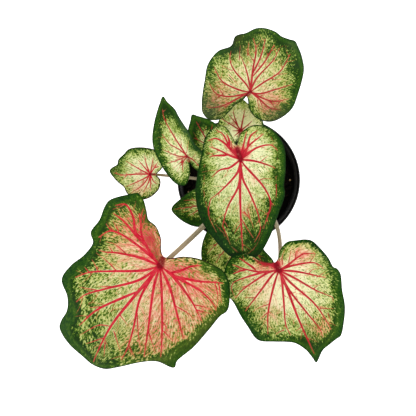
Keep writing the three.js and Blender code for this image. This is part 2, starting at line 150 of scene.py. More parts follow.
LEAVES["front_right"] = dict(
    at=(42, -104, 255), heading=292, pitch=20, droop=.002, back=.002, arch=.004, roll=.16,
    waves=(3, 7, 1.2), root=300, radius=3, low=(48, -36, 205), high=(47, -70, 236),
    margin=[
        (-10, -1), (-16, -13), (-27, -22), (-35, -38), (-26, -53), (-9, -63), (4, -65), (16, -61),
        (34, -59), (50, -56), (66, -53), (72, -49), (79, -33), (84, -20), (89, -12), (103, -3), (116, 1),
        (123, 3), (110, 15), (106, 25), (103, 35), (102, 40), (86, 50), (70, 56), (50, 59), (31, 64),
        (24, 62), (21, 59), (9, 57), (-5, 52), (-17, 46), (-21, 40), (-24, 30), (-26, 20), (-21, 10),
        (-12, 3),
    ],
    rims=[
        (-10, -2, .5, .6), (-16, -14, .5, .8), (-28, -24, 4.5, .9), (-35, -38, 5, 1), (-29, -52, 3, .8),
        (12, -63, 1.5, .4), (31, -59, 6.5, .6), (68, -52, 7.5, .6), (76, -39, 3.5, .4), (96, -5, 4, .5),
        (121, 4, 7, .5), (108, 19, 4.5, .5), (103, 39, 9.5, .45), (59, 57, 9, .4), (19, 59, 3.5, .6),
        (-13, 47, 4.5, .9), (-24, 16, 3, .5), (-9, -1, .5, .5),
    ],
    green=.16, fringe=.24, blush=.05, fine=1.3, hub=5.5, tone=.7,
    midribs=[[(0, 0), (21, 1), (61, 1), (111, 4)]],
    mains=[
        [(0, 0), (-9, -6), (-15, -16), (-24, -22)], [(0, 0), (-5, -18), (-14, -33), (-25, -46)],
        [(-10, -24), (-14, -26), (-29, -36)], [(-14, -33), (-15, -40), (-15, -49)],
        [(-4, -15), (-5, -23), (-6, -47), (-5, -53)], [(0, 0), (-2, -9), (1, -27), (7, -47), (13, -57)],
        [(0, 0), (1, -6), (15, -28), (31, -52)], [(0, 0), (11, -9), (41, -28), (67, -38)],
        [(0, 0), (7, 0), (34, -7), (64, -15), (77, -14)], [(0, 0), (22, 2), (61, 13), (84, 20), (94, 20)],
        [(0, 0), (18, 7), (52, 24), (76, 30), (90, 32)], [(0, 0), (16, 14), (38, 31), (51, 44)],
        [(0, 0), (9, 18), (29, 47)], [(0, 0), (1, 18), (8, 41), (18, 48)],
        [(0, 0), (-2, 12), (-7, 32), (-2, 45)],
    ],
    sides=[
        [(-4, 21), (-12, 25), (-15, 31)], [(-2, 12), (-7, 15), (-18, 22)], [(-4, 6), (-13, 9), (-20, 15)],
        [(5, 35), (-1, 44)], [(17, 29), (14, 35), (16, 43)], [(24, 37), (22, 49)], [(35, 28), (33, 38)],
        [(60, 28), (67, 43)], [(33, -25), (33, -37), (35, -45)], [(42, -30), (47, -41)],
        [(20, -36), (16, -48)], [(69, -19), (69, -24), (71, -30)], [(73, 2), (75, -7)],
        [(4, -38), (3, -47)], [(-5, -53), (0, -57), (13, -57)], [(69, 35), (80, 35)],
        [(51, 44), (54, 46), (59, 45)],
    ],
    more_green=[
        (95, 8, 34, .24), (42, -42, 30, .2), (60, 42, 30, .14), (-12, 38, 16, -.15), (-6, -44, 22, .14),
        (44, -49, 14, -.2), (55, 42, 16, -.25), (20, -12, 20, -.1), (-25, -48, 14, .2), (26, 2, 30, -.22),
    ],
    more_blush=[
        (-14, -12, 15, .8), (10, 1, 7, .6), (-8, 28, 18, .4), (10, -30, 24, .2), (88, 22, 26, .45),
        (-4, 40, 20, .08), (45, -30, 24, .25), (-8, 0, 8, 1.4), (-15, -10, 8, .9),
    ],
)
LEAVES["top"] = dict(
    at=(-3, 17, 330), heading=272, pitch=26, droop=.003, back=.004, arch=.004, waves=(2.5, 6, 0),
    root=None, radius=3.4, low=(4, 12, 200), high=(1, 27, 285),
    margin=[
        (-15, -4), (-23, -8), (-34, -15), (-36, -22), (-27, -35), (-7, -41), (13, -46), (36, -49),
        (60, -45), (84, -31), (105, -13), (111, 2), (105, 18), (85, 31), (57, 41), (38, 47), (29, 46),
        (10, 48), (-13, 46), (-30, 33), (-35, 15), (-27, 1),
    ],
    rims=[
        (-14, -2, .5, .6), (-33, 19, 1.5, .5), (-20, 40, 6, .5), (14, 49, 7.5, .45), (53, 43, 7.5, .6),
        (88, 23, 9, .65), (101, 1, 5.5, .8), (90, -19, 10, .8), (65, -35, 10, .78), (19, -47, 6, .72),
        (1, -42, 3.5, .7), (-20, -37, 2.5, .7), (-36, -18, 1, .5), (-17, -4, .5, .6),
    ],
    green=.17, fringe=.22, fine=1.5, hub=4.4, tone=.75, ring=.45,
    midribs=[[(0, 0), (22, -1), (56, -1), (99, 1)]],
    mains=[
        [(0, 0), (-11, -10), (-27, -18), (-32, -25)], [(-15, -11), (-22, -12), (-27, -14)],
        [(-8, -8), (-18, -17), (-23, -26), (-21, -34)], [(0, 0), (-6, -14), (-11, -23), (-15, -33)],
        [(-5, -14), (-5, -29), (-4, -33)], [(0, 0), (8, -12), (10, -22), (17, -31)],
        [(0, 0), (12, -3), (21, -10), (37, -28), (40, -33)], [(14, -1), (28, -3), (50, -15), (70, -21)],
        [(0, 0), (20, 2), (35, 9), (58, 18), (73, 21)], [(0, 0), (6, 4), (32, 26), (48, 32), (69, 26)],
        [(0, 0), (2, 15), (8, 33), (10, 37)], [(0, 0), (-12, 18), (-14, 33), (-9, 39)],
        [(0, 0), (-10, 6), (-14, 9), (-26, 25)], [(-11, 7), (-24, 11), (-30, 19)],
        [(0, 0), (-13, 3), (-29, 7)],
    ],
    sides=[
        [(23, 19), (21, 23), (21, 33)], [(68, -1), (79, -8)], [(63, 0), (72, 5), (85, 13)],
        [(55, 3), (67, 11), (74, 13)], [(52, 6), (64, 10)], [(73, 21), (79, 20), (90, 14)],
        [(40, -33), (56, -36), (77, -28)], [(70, -21), (87, -14)], [(3, 21), (-3, 29)],
        [(27, 38), (41, 38)], [(-11, -9), (-19, -9)],
    ],
    more_green=[
        (84, 0, 34, .25), (68, -18, 10, .25), (45, 29, 9, .25), (55, -37, 10, .2), (15, 37, 9, .2),
        (12, -35, 10, .2), (-12, 20, 18, -.16), (-16, -16, 14, -.1), (84, 12, 10, .2), (57, 12, 18, .2),
    ],
    more_blush=[(54, 8, 16, .3), (20, 12, 12, .2), (-7, 4, 7.5, 1.4), (-9, -6, 7.5, 1.3)],
)
LEAVES["back"] = dict(
    at=(9, 93, 284), heading=85, pitch=22, droop=.003, back=.003, arch=.004, waves=(3, 7, 2), root=62,
    radius=3.4, low=(13, 40, 210), high=(24, 92, 218),
    margin=[
        (-5, 4), (-9, 7), (-15, 15), (-23, 21), (-31, 28), (-34, 35), (-34, 43), (-27, 50), (-16, 52),
        (-4, 52), (10, 51), (29, 49), (46, 39), (53, 25), (65, 21), (70, 10), (78, -2), (79, -12),
        (75, -24), (70, -31), (68, -40), (67, -47), (62, -50), (56, -53), (47, -56), (34, -58), (23, -57),
        (0, -52), (-12, -48), (-21, -41), (-29, -30), (-31, -22), (-29, -11), (-24, -4), (-18, 0), (-9, 2),
    ],
    rims=[
        (-2, 2, .5, .4), (-29, 30, 1.5, .5), (-34, 43, 2.5, .5), (25, 50, 2, .5), (41, 42, 3.5, .5),
        (58, 23, 5.5, .8), (67, 17, 7, .9), (72, 9, 3.5, .5), (78, -14, 3, .5), (68, -35, 5, .5),
        (66, -48, 6.5, .4), (33, -57, 4, .5), (-11, -49, 3, .6), (-30, -24, 1.5, .7), (-19, -3, 2.5, .5),
        (-9, 1, 1.5, .4),
    ],
    green=.29, fringe=.24, blush=.13, fine=1.35, hub=3.4, stout=.88, tone=.5,
    midribs=[[(0, 0), (27, -1), (50, -3), (65, 1)]],
    mains=[
        [(0, 0), (-7, 11), (-18, 29), (-21, 42), (-20, 47)],
        [(0, 0), (-5, 13), (-7, 27), (-4, 38), (7, 46)], [(0, 0), (1, 11), (10, 32), (26, 42)],
        [(0, 0), (8, 5), (23, 19), (35, 25), (47, 25)], [(0, 0), (6, 1), (24, 6), (40, 13)],
        [(21, -1), (44, -9), (66, -13)], [(19, -2), (38, -14), (59, -23)],
        [(0, 0), (15, -5), (40, -23), (54, -29)], [(0, 0), (11, -12), (27, -31), (50, -42)],
        [(0, 0), (-1, -10), (6, -28), (14, -46)], [(0, 0), (-6, -15), (-8, -27), (-3, -43)],
        [(0, 0), (-6, -9), (-16, -23), (-17, -35)],
    ],
    sides=[
        [(-9, 15), (-16, 22), (-23, 29)], [(-6, 29), (2, 35), (5, 39)], [(7, 28), (9, 35), (7, 41)],
        [(23, 22), (29, 35)], [(35, -2), (45, 5), (49, 7)], [(23, -27), (26, -40)],
        [(18, -21), (17, -26), (19, -36)], [(-8, -11), (-22, -17)], [(-6, -8), (-19, -11)],
        [(42, 6), (59, 6)], [(36, 15), (54, 15)], [(18, 25), (7, 14)], [(-7, -34), (-14, -29)],
        [(-8, -22), (-16, -29)], [(-7, 32), (-14, 42)],
    ],
    more_green=[
        (52, 6, 18, .24), (52, -24, 16, .16), (30, -42, 30, .1), (-16, -36, 20, .15), (-24, 40, 18, .15),
    ],
    more_blush=[(-14, 38, 28, .4), (-16, -28, 24, .45), (48, 8, 7, .4), (60, 15, 16, .35)],
    # more_shade is painted shade: in the folds near the tip, over both lobes and faintly over all of it
    more_shade=[
        (47, 16, 9, .6), (52, 30, 12, .4), (-22, 42, 26, 1.1), (-24, -28, 22, 1.0), (62, -44, 10, .4),
        (20, 0, 90, .12),
    ],
)
LEAVES["back_left"] = dict(
    at=(-61, 24, 250), heading=112, pitch=20, droop=.003, back=.003, arch=.004, fold=(.1, 1.5),
    waves=(2, 5, .7), root=158, radius=2.8, low=(-22, 8, 215), high=(-52, 18, 230),
    margin=[
        (-7, 0), (-20, 5), (-29, 14), (-25, 22), (-7, 29), (6, 31), (22, 32), (35, 29), (50, 21), (62, 13),
        (71, 6), (77, 0), (69, -2), (57, -7), (47, -8), (36, -10), (27, -12), (11, -13), (-3, -18),
        (-14, -16), (-21, -7), (-14, -2),
    ],
    rims=[
        (-17, 5, 1.5, .4), (-25, 20, 4, .6), (4, 30, 4, .6), (41, 25, 5, .5), (75, 1, 2.5, .5),
        (53, -9, 5.5, .5), (26, -12, 4, .5), (8, -18, 6, .6), (-18, -9, 2.5, .4),
    ],
    green=.17, fringe=.26, fine=1.5, hub=2.6, stout=.72, tone=.6,
    midribs=[[(0, 0), (25, 5), (52, 8), (63, 6)]],
    mains=[
        [(0, 0), (10, 5), (21, 13), (35, 17)], [(0, 0), (4, 9), (18, 23)], [(0, 0), (0, 10), (1, 24)],
        [(0, 0), (-5, 7), (-15, 11)], [(0, 0), (-7, -5), (-17, -9)],
    ],
    sides=[
        [(-3, 6), (-13, 18)], [(-2, 6), (-8, 21)], [(-5, -3), (0, -11)], [(4, -1), (16, -8)],
        [(10, 2), (28, -2)],
    ],
    more_green=[(62, 2, 18, .4), (32, 17, 16, .12), (-8, 17, 14, -.22), (20, -2, 9, -.2)],
)
LEAVES["left"] = dict(
    at=(-106, 6, 175), heading=176, pitch=15, droop=.003, back=.004, arch=.006, waves=(1.5, 5, 0),
    root=188, radius=2.2, low=(-28, -1, 158), high=(-78, 4, 164),
    margin=[
        (-7, 0), (-12, -6), (-15, -14), (-8, -27), (0, -30), (17, -31), (29, -28), (34, -22), (40, -15),
        (41, -9), (47, -5), (50, -1), (44, 7), (37, 13), (31, 17), (27, 24), (17, 31), (0, 28), (-11, 17),
        (-12, 6),
    ],
    rims=[
        (-12, -9, 1, .5), (-2, -28, 3, .6), (28, -29, 3.5, .5), (49, -2, 3, .5), (30, 18, 1, .4),
        (6, 30, 2.5, .6), (-12, 9, 1, .6),
    ],
    green=.08, fringe=.26, fine=1.4, hub=2.4, stout=.9, tone=.9,
    midribs=[[(0, 0), (17, 1), (34, 3), (45, 1)]],
    mains=[
        [(0, 0), (9, -3), (31, -14)], [(0, 0), (6, -6), (16, -16)], [(0, 0), (5, -10), (9, -22)],
        [(0, 0), (-2, -20)], [(0, 0), (-8, -15)], [(-5, -8), (-10, -10)], [(0, 0), (6, 5), (29, 17)],
        [(0, 0), (8, 13), (22, 24)], [(0, 0), (1, 8), (7, 22)], [(0, 0), (-2, 20)],
        [(0, 0), (-5, 9), (-9, 11)],
    ],
    sides=[[(28, 3), (35, 10)]],
    more_green=[(38, 2, 16, .12)],
    more_blush=[(12, 20, 16, .3)],
)
LEAVES["back_left_low"] = dict(
    at=(-32, 33, 196), heading=119, pitch=14, droop=.004, back=.004, arch=.006, waves=(1.5, 5, 1),
    root=128, radius=2.4, low=(-15, 20, 160), high=(-27, 28, 178), heart=(50, 24, 9),
    rims=[(50, 0, 5, .45)],
    green=.50, fringe=.1, blush=.03, fine=1.3, hub=2.4, tone=.1,
    midribs=[[(0, 0), (16, 0), (40, 0)]],
    mains=[
        [(0, 0), (12, 4), (24, 12)], [(0, 0), (17, -7), (28, -15)], [(0, 0), (-2, 12), (2, 18)],
        [(0, 0), (-2, -12), (2, -18)],
    ],
    sides=[[(25, -1), (28, -8)]],
    more_green=[(16, 2, 9, -.2)],
)
LEAVES["back_low"] = dict(
    at=(-1, 52, 262), heading=85, pitch=30, droop=.004, back=.004, arch=.005, waves=(1.5, 5, 2),
    root=95, radius=2.6, low=(-2, 26, 190), high=(-1, 44, 238), heart=(37, 26, 16),
    rims=[
        (37, 0, .5, .4), (20, -18, 3, .6), (-5, -26, 2, .6), (-16, 0, .5, .4), (-16, 18, 3, .7),
        (10, 26, .5, .3),
    ],
    green=-.1, fringe=.28, fine=1.5, hub=4.2, tone=.4,
    midribs=[[(0, 0), (9, -1), (26, -3)]],
    mains=[
        [(0, 0), (6, 11), (13, 24)], [(0, 0), (3, 2), (18, 15)], [(4, 3), (18, 9), (24, 10)],
        [(0, 0), (9, -9), (13, -12)], [(0, 0), (-1, 9)], [(0, 0), (-7, 7)], [(0, 0), (0, -6), (4, -12)],
        [(0, 0), (-6, -9), (-11, -17)],
    ],
    more_green=[(32, 2, 12, .2), (8, 20, 14, .3)],
)
LEAVES["left_low"] = dict(
    at=(-30, -29, 165), heading=188, pitch=14, droop=.004, back=.004, arch=.006, waves=(1.5, 5, 3),
    root=216, radius=2.2, low=(-19, -14, 140), high=(-25, -23, 152),
    margin=[
        (-5, 0), (-7, -8), (-6, -16), (3, -21), (19, -21), (38, -12), (52, -1), (46, 10), (33, 21),
        (22, 25), (8, 24), (-3, 17), (-8, 8),
    ],
    rims=[(-6, -16, 2.5, .5), (19, -21, 2, .5), (52, -1, 2.5, .7), (33, 21, 4, .8), (8, 24, 4, .7)],
    green=.46, fringe=.12, fine=1.4, hub=2.2, stout=.8, tone=.2,
    midribs=[[(0, 0), (21, 0), (48, 0)]],
    mains=[
        [(10, 0), (21, -7), (36, -9)], [(11, 0), (24, 7), (33, 10)], [(0, 0), (3, -8), (12, -16)],
        [(0, 0), (3, 9), (14, 19)],
    ],
    sides=[[(21, 0), (34, -6)], [(26, 0), (32, 4), (40, 5)]],
    more_green=[(16, 16, 14, .06), (4, -14, 10, .1)],
)
LEAVES["front_low"] = dict(
    at=(0, -54, 182), heading=268, pitch=14, droop=.003, back=.004, arch=.004, waves=(2, 6, 1),
    root=268, radius=2.6, low=(-1, -27, 150), high=(0, -44, 166),
    margin=[
        (-7, 0), (-14, -8), (-12, -22), (-2, -32), (23, -43), (45, -43), (67, -31), (84, -9), (90, 2),
        (78, 23), (59, 43), (44, 43), (29, 30), (14, 20), (-2, 11),
    ],
    rims=[
        (-12, -22, 2.5, .6), (23, -43, 3, .7), (67, -31, 3, .8), (90, 2, 4, .9), (59, 43, 3, .8),
        (14, 20, 2, .6),
    ],
    green=.44, fringe=.12, fine=1.4, hub=2.6, stout=.7, tone=.15,
    midribs=[[(0, 0), (42, 2), (82, 3)]],
    mains=[
        [(10, -2), (23, -25), (36, -37)], [(17, -1), (33, -18), (47, -27)], [(25, 0), (49, -14)],
        [(11, 2), (26, 17), (44, 29)], [(18, 2), (48, 17), (66, 20)], [(0, 0), (-5, -10), (-4, -22)],
    ],
    sides=[[(24, -26), (27, -36)], [(36, -21), (40, -31)]],
    more_green=[(60, 6, 30, .12), (32, -30, 24, -.12)],
)

# In millimetres, where they are lengths
CREASE = 6            # softness of the crease of a folded blade
SEAT = 1.1            # how far under the blade's upper face its petiole ends
TIP_THICKNESS = .35   # of a blade at its margin
ROW = 1.0             # spacing of the points along the margin, and of the rows along a vein
VEIN_STEP = .5        # spacing of the points that a vein is drawn with
SIDE_REACH = 14       # the furthest that a vein still puckers the tissue beside it
EVEN = 9              # degrees to each side over which the way round the margin is evened out
LIP = .4              # how far the rounded edge of a blade stands out
LEAST_GAP = .45       # between the points of a blade's plan
BOSS = 1.4            # how much thicker a blade is over its petiole
FLUTTER = .9          # height of the small waves of the margin
FLUTTER_SIZE = 17     # their length
NEAR_ARC = 24         # length of the pattern's turn round the petiole, a radian, near it
FAR_ARC = 62          # and further out, where the same turn is a longer way

# Thickness of a vein at its start and its end, its reach at its start, how much faster
# its reach grows than along a main vein, and the share of its thickness at its foot.
RANKS = {
    "midribs": (3.0, .9, 0, 1, .8),
    "mains": (2.5, .75, 0, 1, .55),
    "sides": (1.0, .4, .7, 1.5, .8),
}
USUAL_REACH = 60      # mean reach of a blade whose veins are not scaled

# Thin veinlets that leave the veins to one side and the other by turns
VEINLET_START = 14          # how far from the start of a vein the first one leaves it
VEINLET_END = 4             # how far before the end of the vein the last one may
VEINLET_APART = (7, 13)
VEINLET_LENGTH = (9, 20)
VEINLET_TURN = (38, 58)     # degrees that it turns away from its vein
VEINLET_CURL = .028         # share of that turn that it loses with each millimetre
VEINLET_WIDTH = (.75, .35)  # at its foot and at its end
VEINLET_CLEAR = 1.2         # how near it may come to another vein
VEINLET_LEAST = 5           # shorter ones are left out


# ------------------------------------------------------------------ settings

def a_length(name, description, millimetres, least=0):
    """A setting in millimetres."""
    return FloatProperty(
        name=name, description=description, default=millimetres * MM, min=least * MM, unit="LENGTH")


def a_share(name, description, default):
    """A setting that is a share of something else."""
    return FloatProperty(name=name, description=description, default=default, subtype="FACTOR")


def a_colour(name, description, red, green, blue):
    """A colour setting."""
    return FloatVectorProperty(
        name=name, description=description, default=srgb(red, green, blue), subtype="COLOR")


class PotSettings(bpy.types.PropertyGroup):
    wall: a_length("Wall", "Thickness of the pot's wall", 1.6, least=.5)
    band: a_length("Rim band", "Height of the band round the rim", 13)
    flare: a_length("Band step", "How far the band stands out from the wall below it", 3.3)
    base_share: a_share("Base", "Radius of the base as a share of the rim's", .72)
    holes: IntProperty(name="Drainage holes", description="Holes in the floor", default=8, min=0)
    hole_radius: a_length("Hole radius", "Radius of a drainage hole", 4)
    hole_circle: a_length("Hole circle", "Radius of the circle that they lie on", 38)
    plastic: a_colour("Plastic", "Colour of the pot", 7, 7, 9)
    dust: a_colour("Dust", "Dust and dried soil on it", 86, 80, 72)


class SoilSettings(bpy.types.PropertyGroup):
    relief: a_length("Relief", "Height of the crumbs of the soil", 2.2)
    perlite: IntProperty(name="Perlite", description="Number of perlite grains", default=55, min=0)
    bark: IntProperty(name="Bark", description="Number of bits of bark and peat", default=420, min=0)
    earth: a_colour("Earth", "Colour of the moist mix", 8, 6, 5)
    grain: a_colour("Grain", "Colour of the perlite", 176, 150, 112)
    chip: a_colour("Chip", "Colour of the bark", 17, 12, 9)


class BladeSettings(bpy.types.PropertyGroup):
    spacing: a_length("Spacing", "Distance between the points of a blade", 1.25, least=.6)
    thickness: a_length("Thickness", "Thickness of a blade at its middle", .7)
    furrow: a_length("Furrow", "Depth of a vein in the upper face", .45)
    rib: a_length("Rib", "Height of a vein on the underside", 1.0)
    pucker: a_length("Pucker", "Rise of the tissue between veins", 1.1)
    cream: a_colour("Cream", "Palest tissue", 240, 238, 190)
    lime: a_colour("Lime", "Tissue with a little green", 208, 212, 134)
    leaf: a_colour("Leaf green", "Green of the speckles", 132, 160, 58)
    deep: a_colour("Deep green", "Green of the margin", 50, 86, 14)
    night: a_colour("Night green", "Darkest green", 9, 40, 6)
    blush: a_colour("Blush", "Pink between the veins", 234, 112, 108)
    crimson: a_colour("Crimson", "Veins near the petiole", 206, 30, 52)
    brick: a_colour("Brick", "Veins of the small leaves", 140, 44, 36)
    salmon: a_colour("Salmon", "Ends of the veins", 224, 112, 84)
    hub: a_colour("Hub", "Spot over the petiole", 122, 8, 24)


class PetioleSettings(bpy.types.PropertyGroup):
    taper: a_share("Taper", "Share of its radius that a petiole loses on the way up", .28)
    sheath: a_share("Sheath", "How much wider a petiole is where it leaves the soil", .35)
    collar: a_share("Collar", "How much wider it is under its blade", .3)
    stalk: a_colour("Stalk", "Colour of the upper stalk", 156, 146, 116)
    streak: a_colour("Streak", "Colour of its streaks", 104, 92, 66)
    # the stalk's dark foot, and painted shade where this colour reaches further up the stalk
    foot: a_colour("Foot", "Colour where it leaves the soil", 86, 56, 46)


class StageSettings(bpy.types.PropertyGroup):
    eye: FloatVectorProperty(
        name="Camera", description="Where the camera hangs, looking straight down",
        default=(-37.5 * MM, -34.2 * MM, 1600 * MM), subtype="TRANSLATION")
    lens: FloatProperty(name="Lens", description="Focal length in millimetres", default=103.85)
    floor: FloatVectorProperty(
        name="Floor", description="Colour of the pale floor", default=(.93, .93, .93), subtype="COLOR")
    glow: FloatProperty(name="Glow", description="Light that the white floor gives back", default=.86)
    sky: FloatProperty(name="Sky", description="Strength of the even light from all round", default=.42)
    softbox: FloatProperty(name="Softbox", description="Power of the large soft lamp in watts", default=14.5)


# ------------------------------------------------------------------ shader maths

class Wire:
    """An output of a node that takes part in arithmetic."""

    def __init__(self, finish, socket):
        self.finish = finish
        self.socket = socket

    def maths(self, operation, *values):
        return self.finish.node("ShaderNodeMath", {"operation": operation}, dict(enumerate(values)))

    def __add__(self, other):
        return self.maths("ADD", self, other)

    __radd__ = __add__

    def __sub__(self, other):
        return self.maths("SUBTRACT", self, other)

    def __rsub__(self, other):
        return self.maths("SUBTRACT", other, self)

    def __mul__(self, other):
        return self.maths("MULTIPLY", self, other)

    __rmul__ = __mul__

    def __abs__(self):
        return self.maths("ABSOLUTE", self)


class Finish:
    """A material with one Principled shader, and the nodes that feed it."""

    def __init__(self, name, **constants):
        self.material = bpy.data.materials.new(name)
        self.material.use_nodes = True
        self.tree = self.material.node_tree
        self.shader = self.tree.nodes["Principled BSDF"]
        for socket, value in constants.items():
            self.shader.inputs[socket.replace("_", " ")].default_value = value

    def node(self, kind, settings=None, sockets=None, output=0):
        """Adds a node: first its settings, then the values or links of its sockets."""
        made = self.tree.nodes.new(kind)
        for name, value in (settings or {}).items():
            if name == "stops":
                while len(made.color_ramp.elements) < len(value):
                    made.color_ramp.elements.new(1)
                for element, (place, colour) in zip(made.color_ramp.elements, value):
                    element.position = place
                    element.color = (*colour, 1)
            else:
                setattr(made, name, value)
        for name, value in (sockets or {}).items():
            self.feed(made.inputs[name], value)
        return Wire(self, made.outputs[output])

    def feed(self, socket, value):
        if isinstance(value, Wire):
            self.tree.links.new(value.socket, socket)
        elif socket.type == "RGBA" and len(value) == 3:
            socket.default_value = (*value, 1)
        else:
            socket.default_value = value

    def drive(self, **values):
        for name, value in values.items():
            self.feed(self.shader.inputs[name.replace("_", " ")], value)

    def attribute(self, name):
        """The three parts of a vector that each point of the mesh holds."""
        held = self.node("ShaderNodeAttribute", {"attribute_name": name}, output="Vector")
        return self.parts(held)

    def parts(self, vector):
        split = self.node("ShaderNodeSeparateXYZ", None, {0: vector})
        return [Wire(self, out) for out in split.socket.node.outputs]

    def vector(self, x, y, z=0.0):
        return self.node("ShaderNodeCombineXYZ", None, {0: x, 1: y, 2: z})

    def place(self):
        return self.node("ShaderNodeTexCoord", output="Object")

    def noise(self, vector, size, detail=2.0, rough=.5):
        """Noise from 0 to 1 whose features are about size across."""
        sockets = {"Vector": vector, "Scale": 1 / size, "Detail": detail, "Roughness": rough}
        return self.node("ShaderNodeTexNoise", None, sockets, "Fac")

    def step(self, value, low, high):
        """0 below low, 1 above high, and smooth between. low may be the higher one."""
        if low > high:
            return 1 - self.step(value, high, low)
        sockets = {"Value": value, "From Min": low, "From Max": high}
        return self.node("ShaderNodeMapRange", {"interpolation_type": "SMOOTHSTEP"}, sockets)

    def clamp(self, value):
        return self.node("ShaderNodeClamp", None, {0: value})

    def blend(self, below, above, share):
        """Colour below, covered with colour above by a share."""
        settings = {"data_type": "RGBA"}
        return self.node("ShaderNodeMix", settings, {0: share, 6: below, 7: above}, 2)

    def ramp(self, value, stops):
        return self.node("ShaderNodeValToRGB", {"stops": stops}, {0: value})

    def bump(self, height, strength, distance):
        sockets = {"Strength": strength, "Distance": distance, "Height": height}
        return self.node("ShaderNodeBump", None, sockets)


# ------------------------------------------------------------------ materials

BLOOM = srgb(176, 28, 44)       # tissue close round the sinus
BAND_PALE = srgb(96, 130, 42)   # the green band, from thin to dark
BAND_DARK = srgb(24, 66, 10)
BAND_OLIVE = srgb(104, 98, 42)  # the band where the pink reaches it
# painted highlight: the lighter middle of a thick vein stands in for the gloss on its raised crest
VEIN_HIGHLIGHT = srgb(232, 92, 96)       # middle of a thick vein
HUB_EDGE = srgb(176, 12, 38)    # round the dark spot over the petiole
MAROON = srgb(52, 8, 14)        # edge of the blade near the petiole
# painted shade: grey laid on the back leaf's tissue in its folds and over its lobes
PAINTED_SHADE = srgb(62, 62, 52)        # grey patches
UNDERSIDE = srgb(150, 160, 122) # of a blade
TAN = srgb(186, 152, 122)       # top of a petiole
FLECK = srgb(70, 40, 34)        # dashes on a petiole
RED_TOP = srgb(140, 36, 40)     # petiole right under its blade
SCUFF = srgb(30, 30, 34)        # worn plastic
CORM = srgb(104, 70, 46)


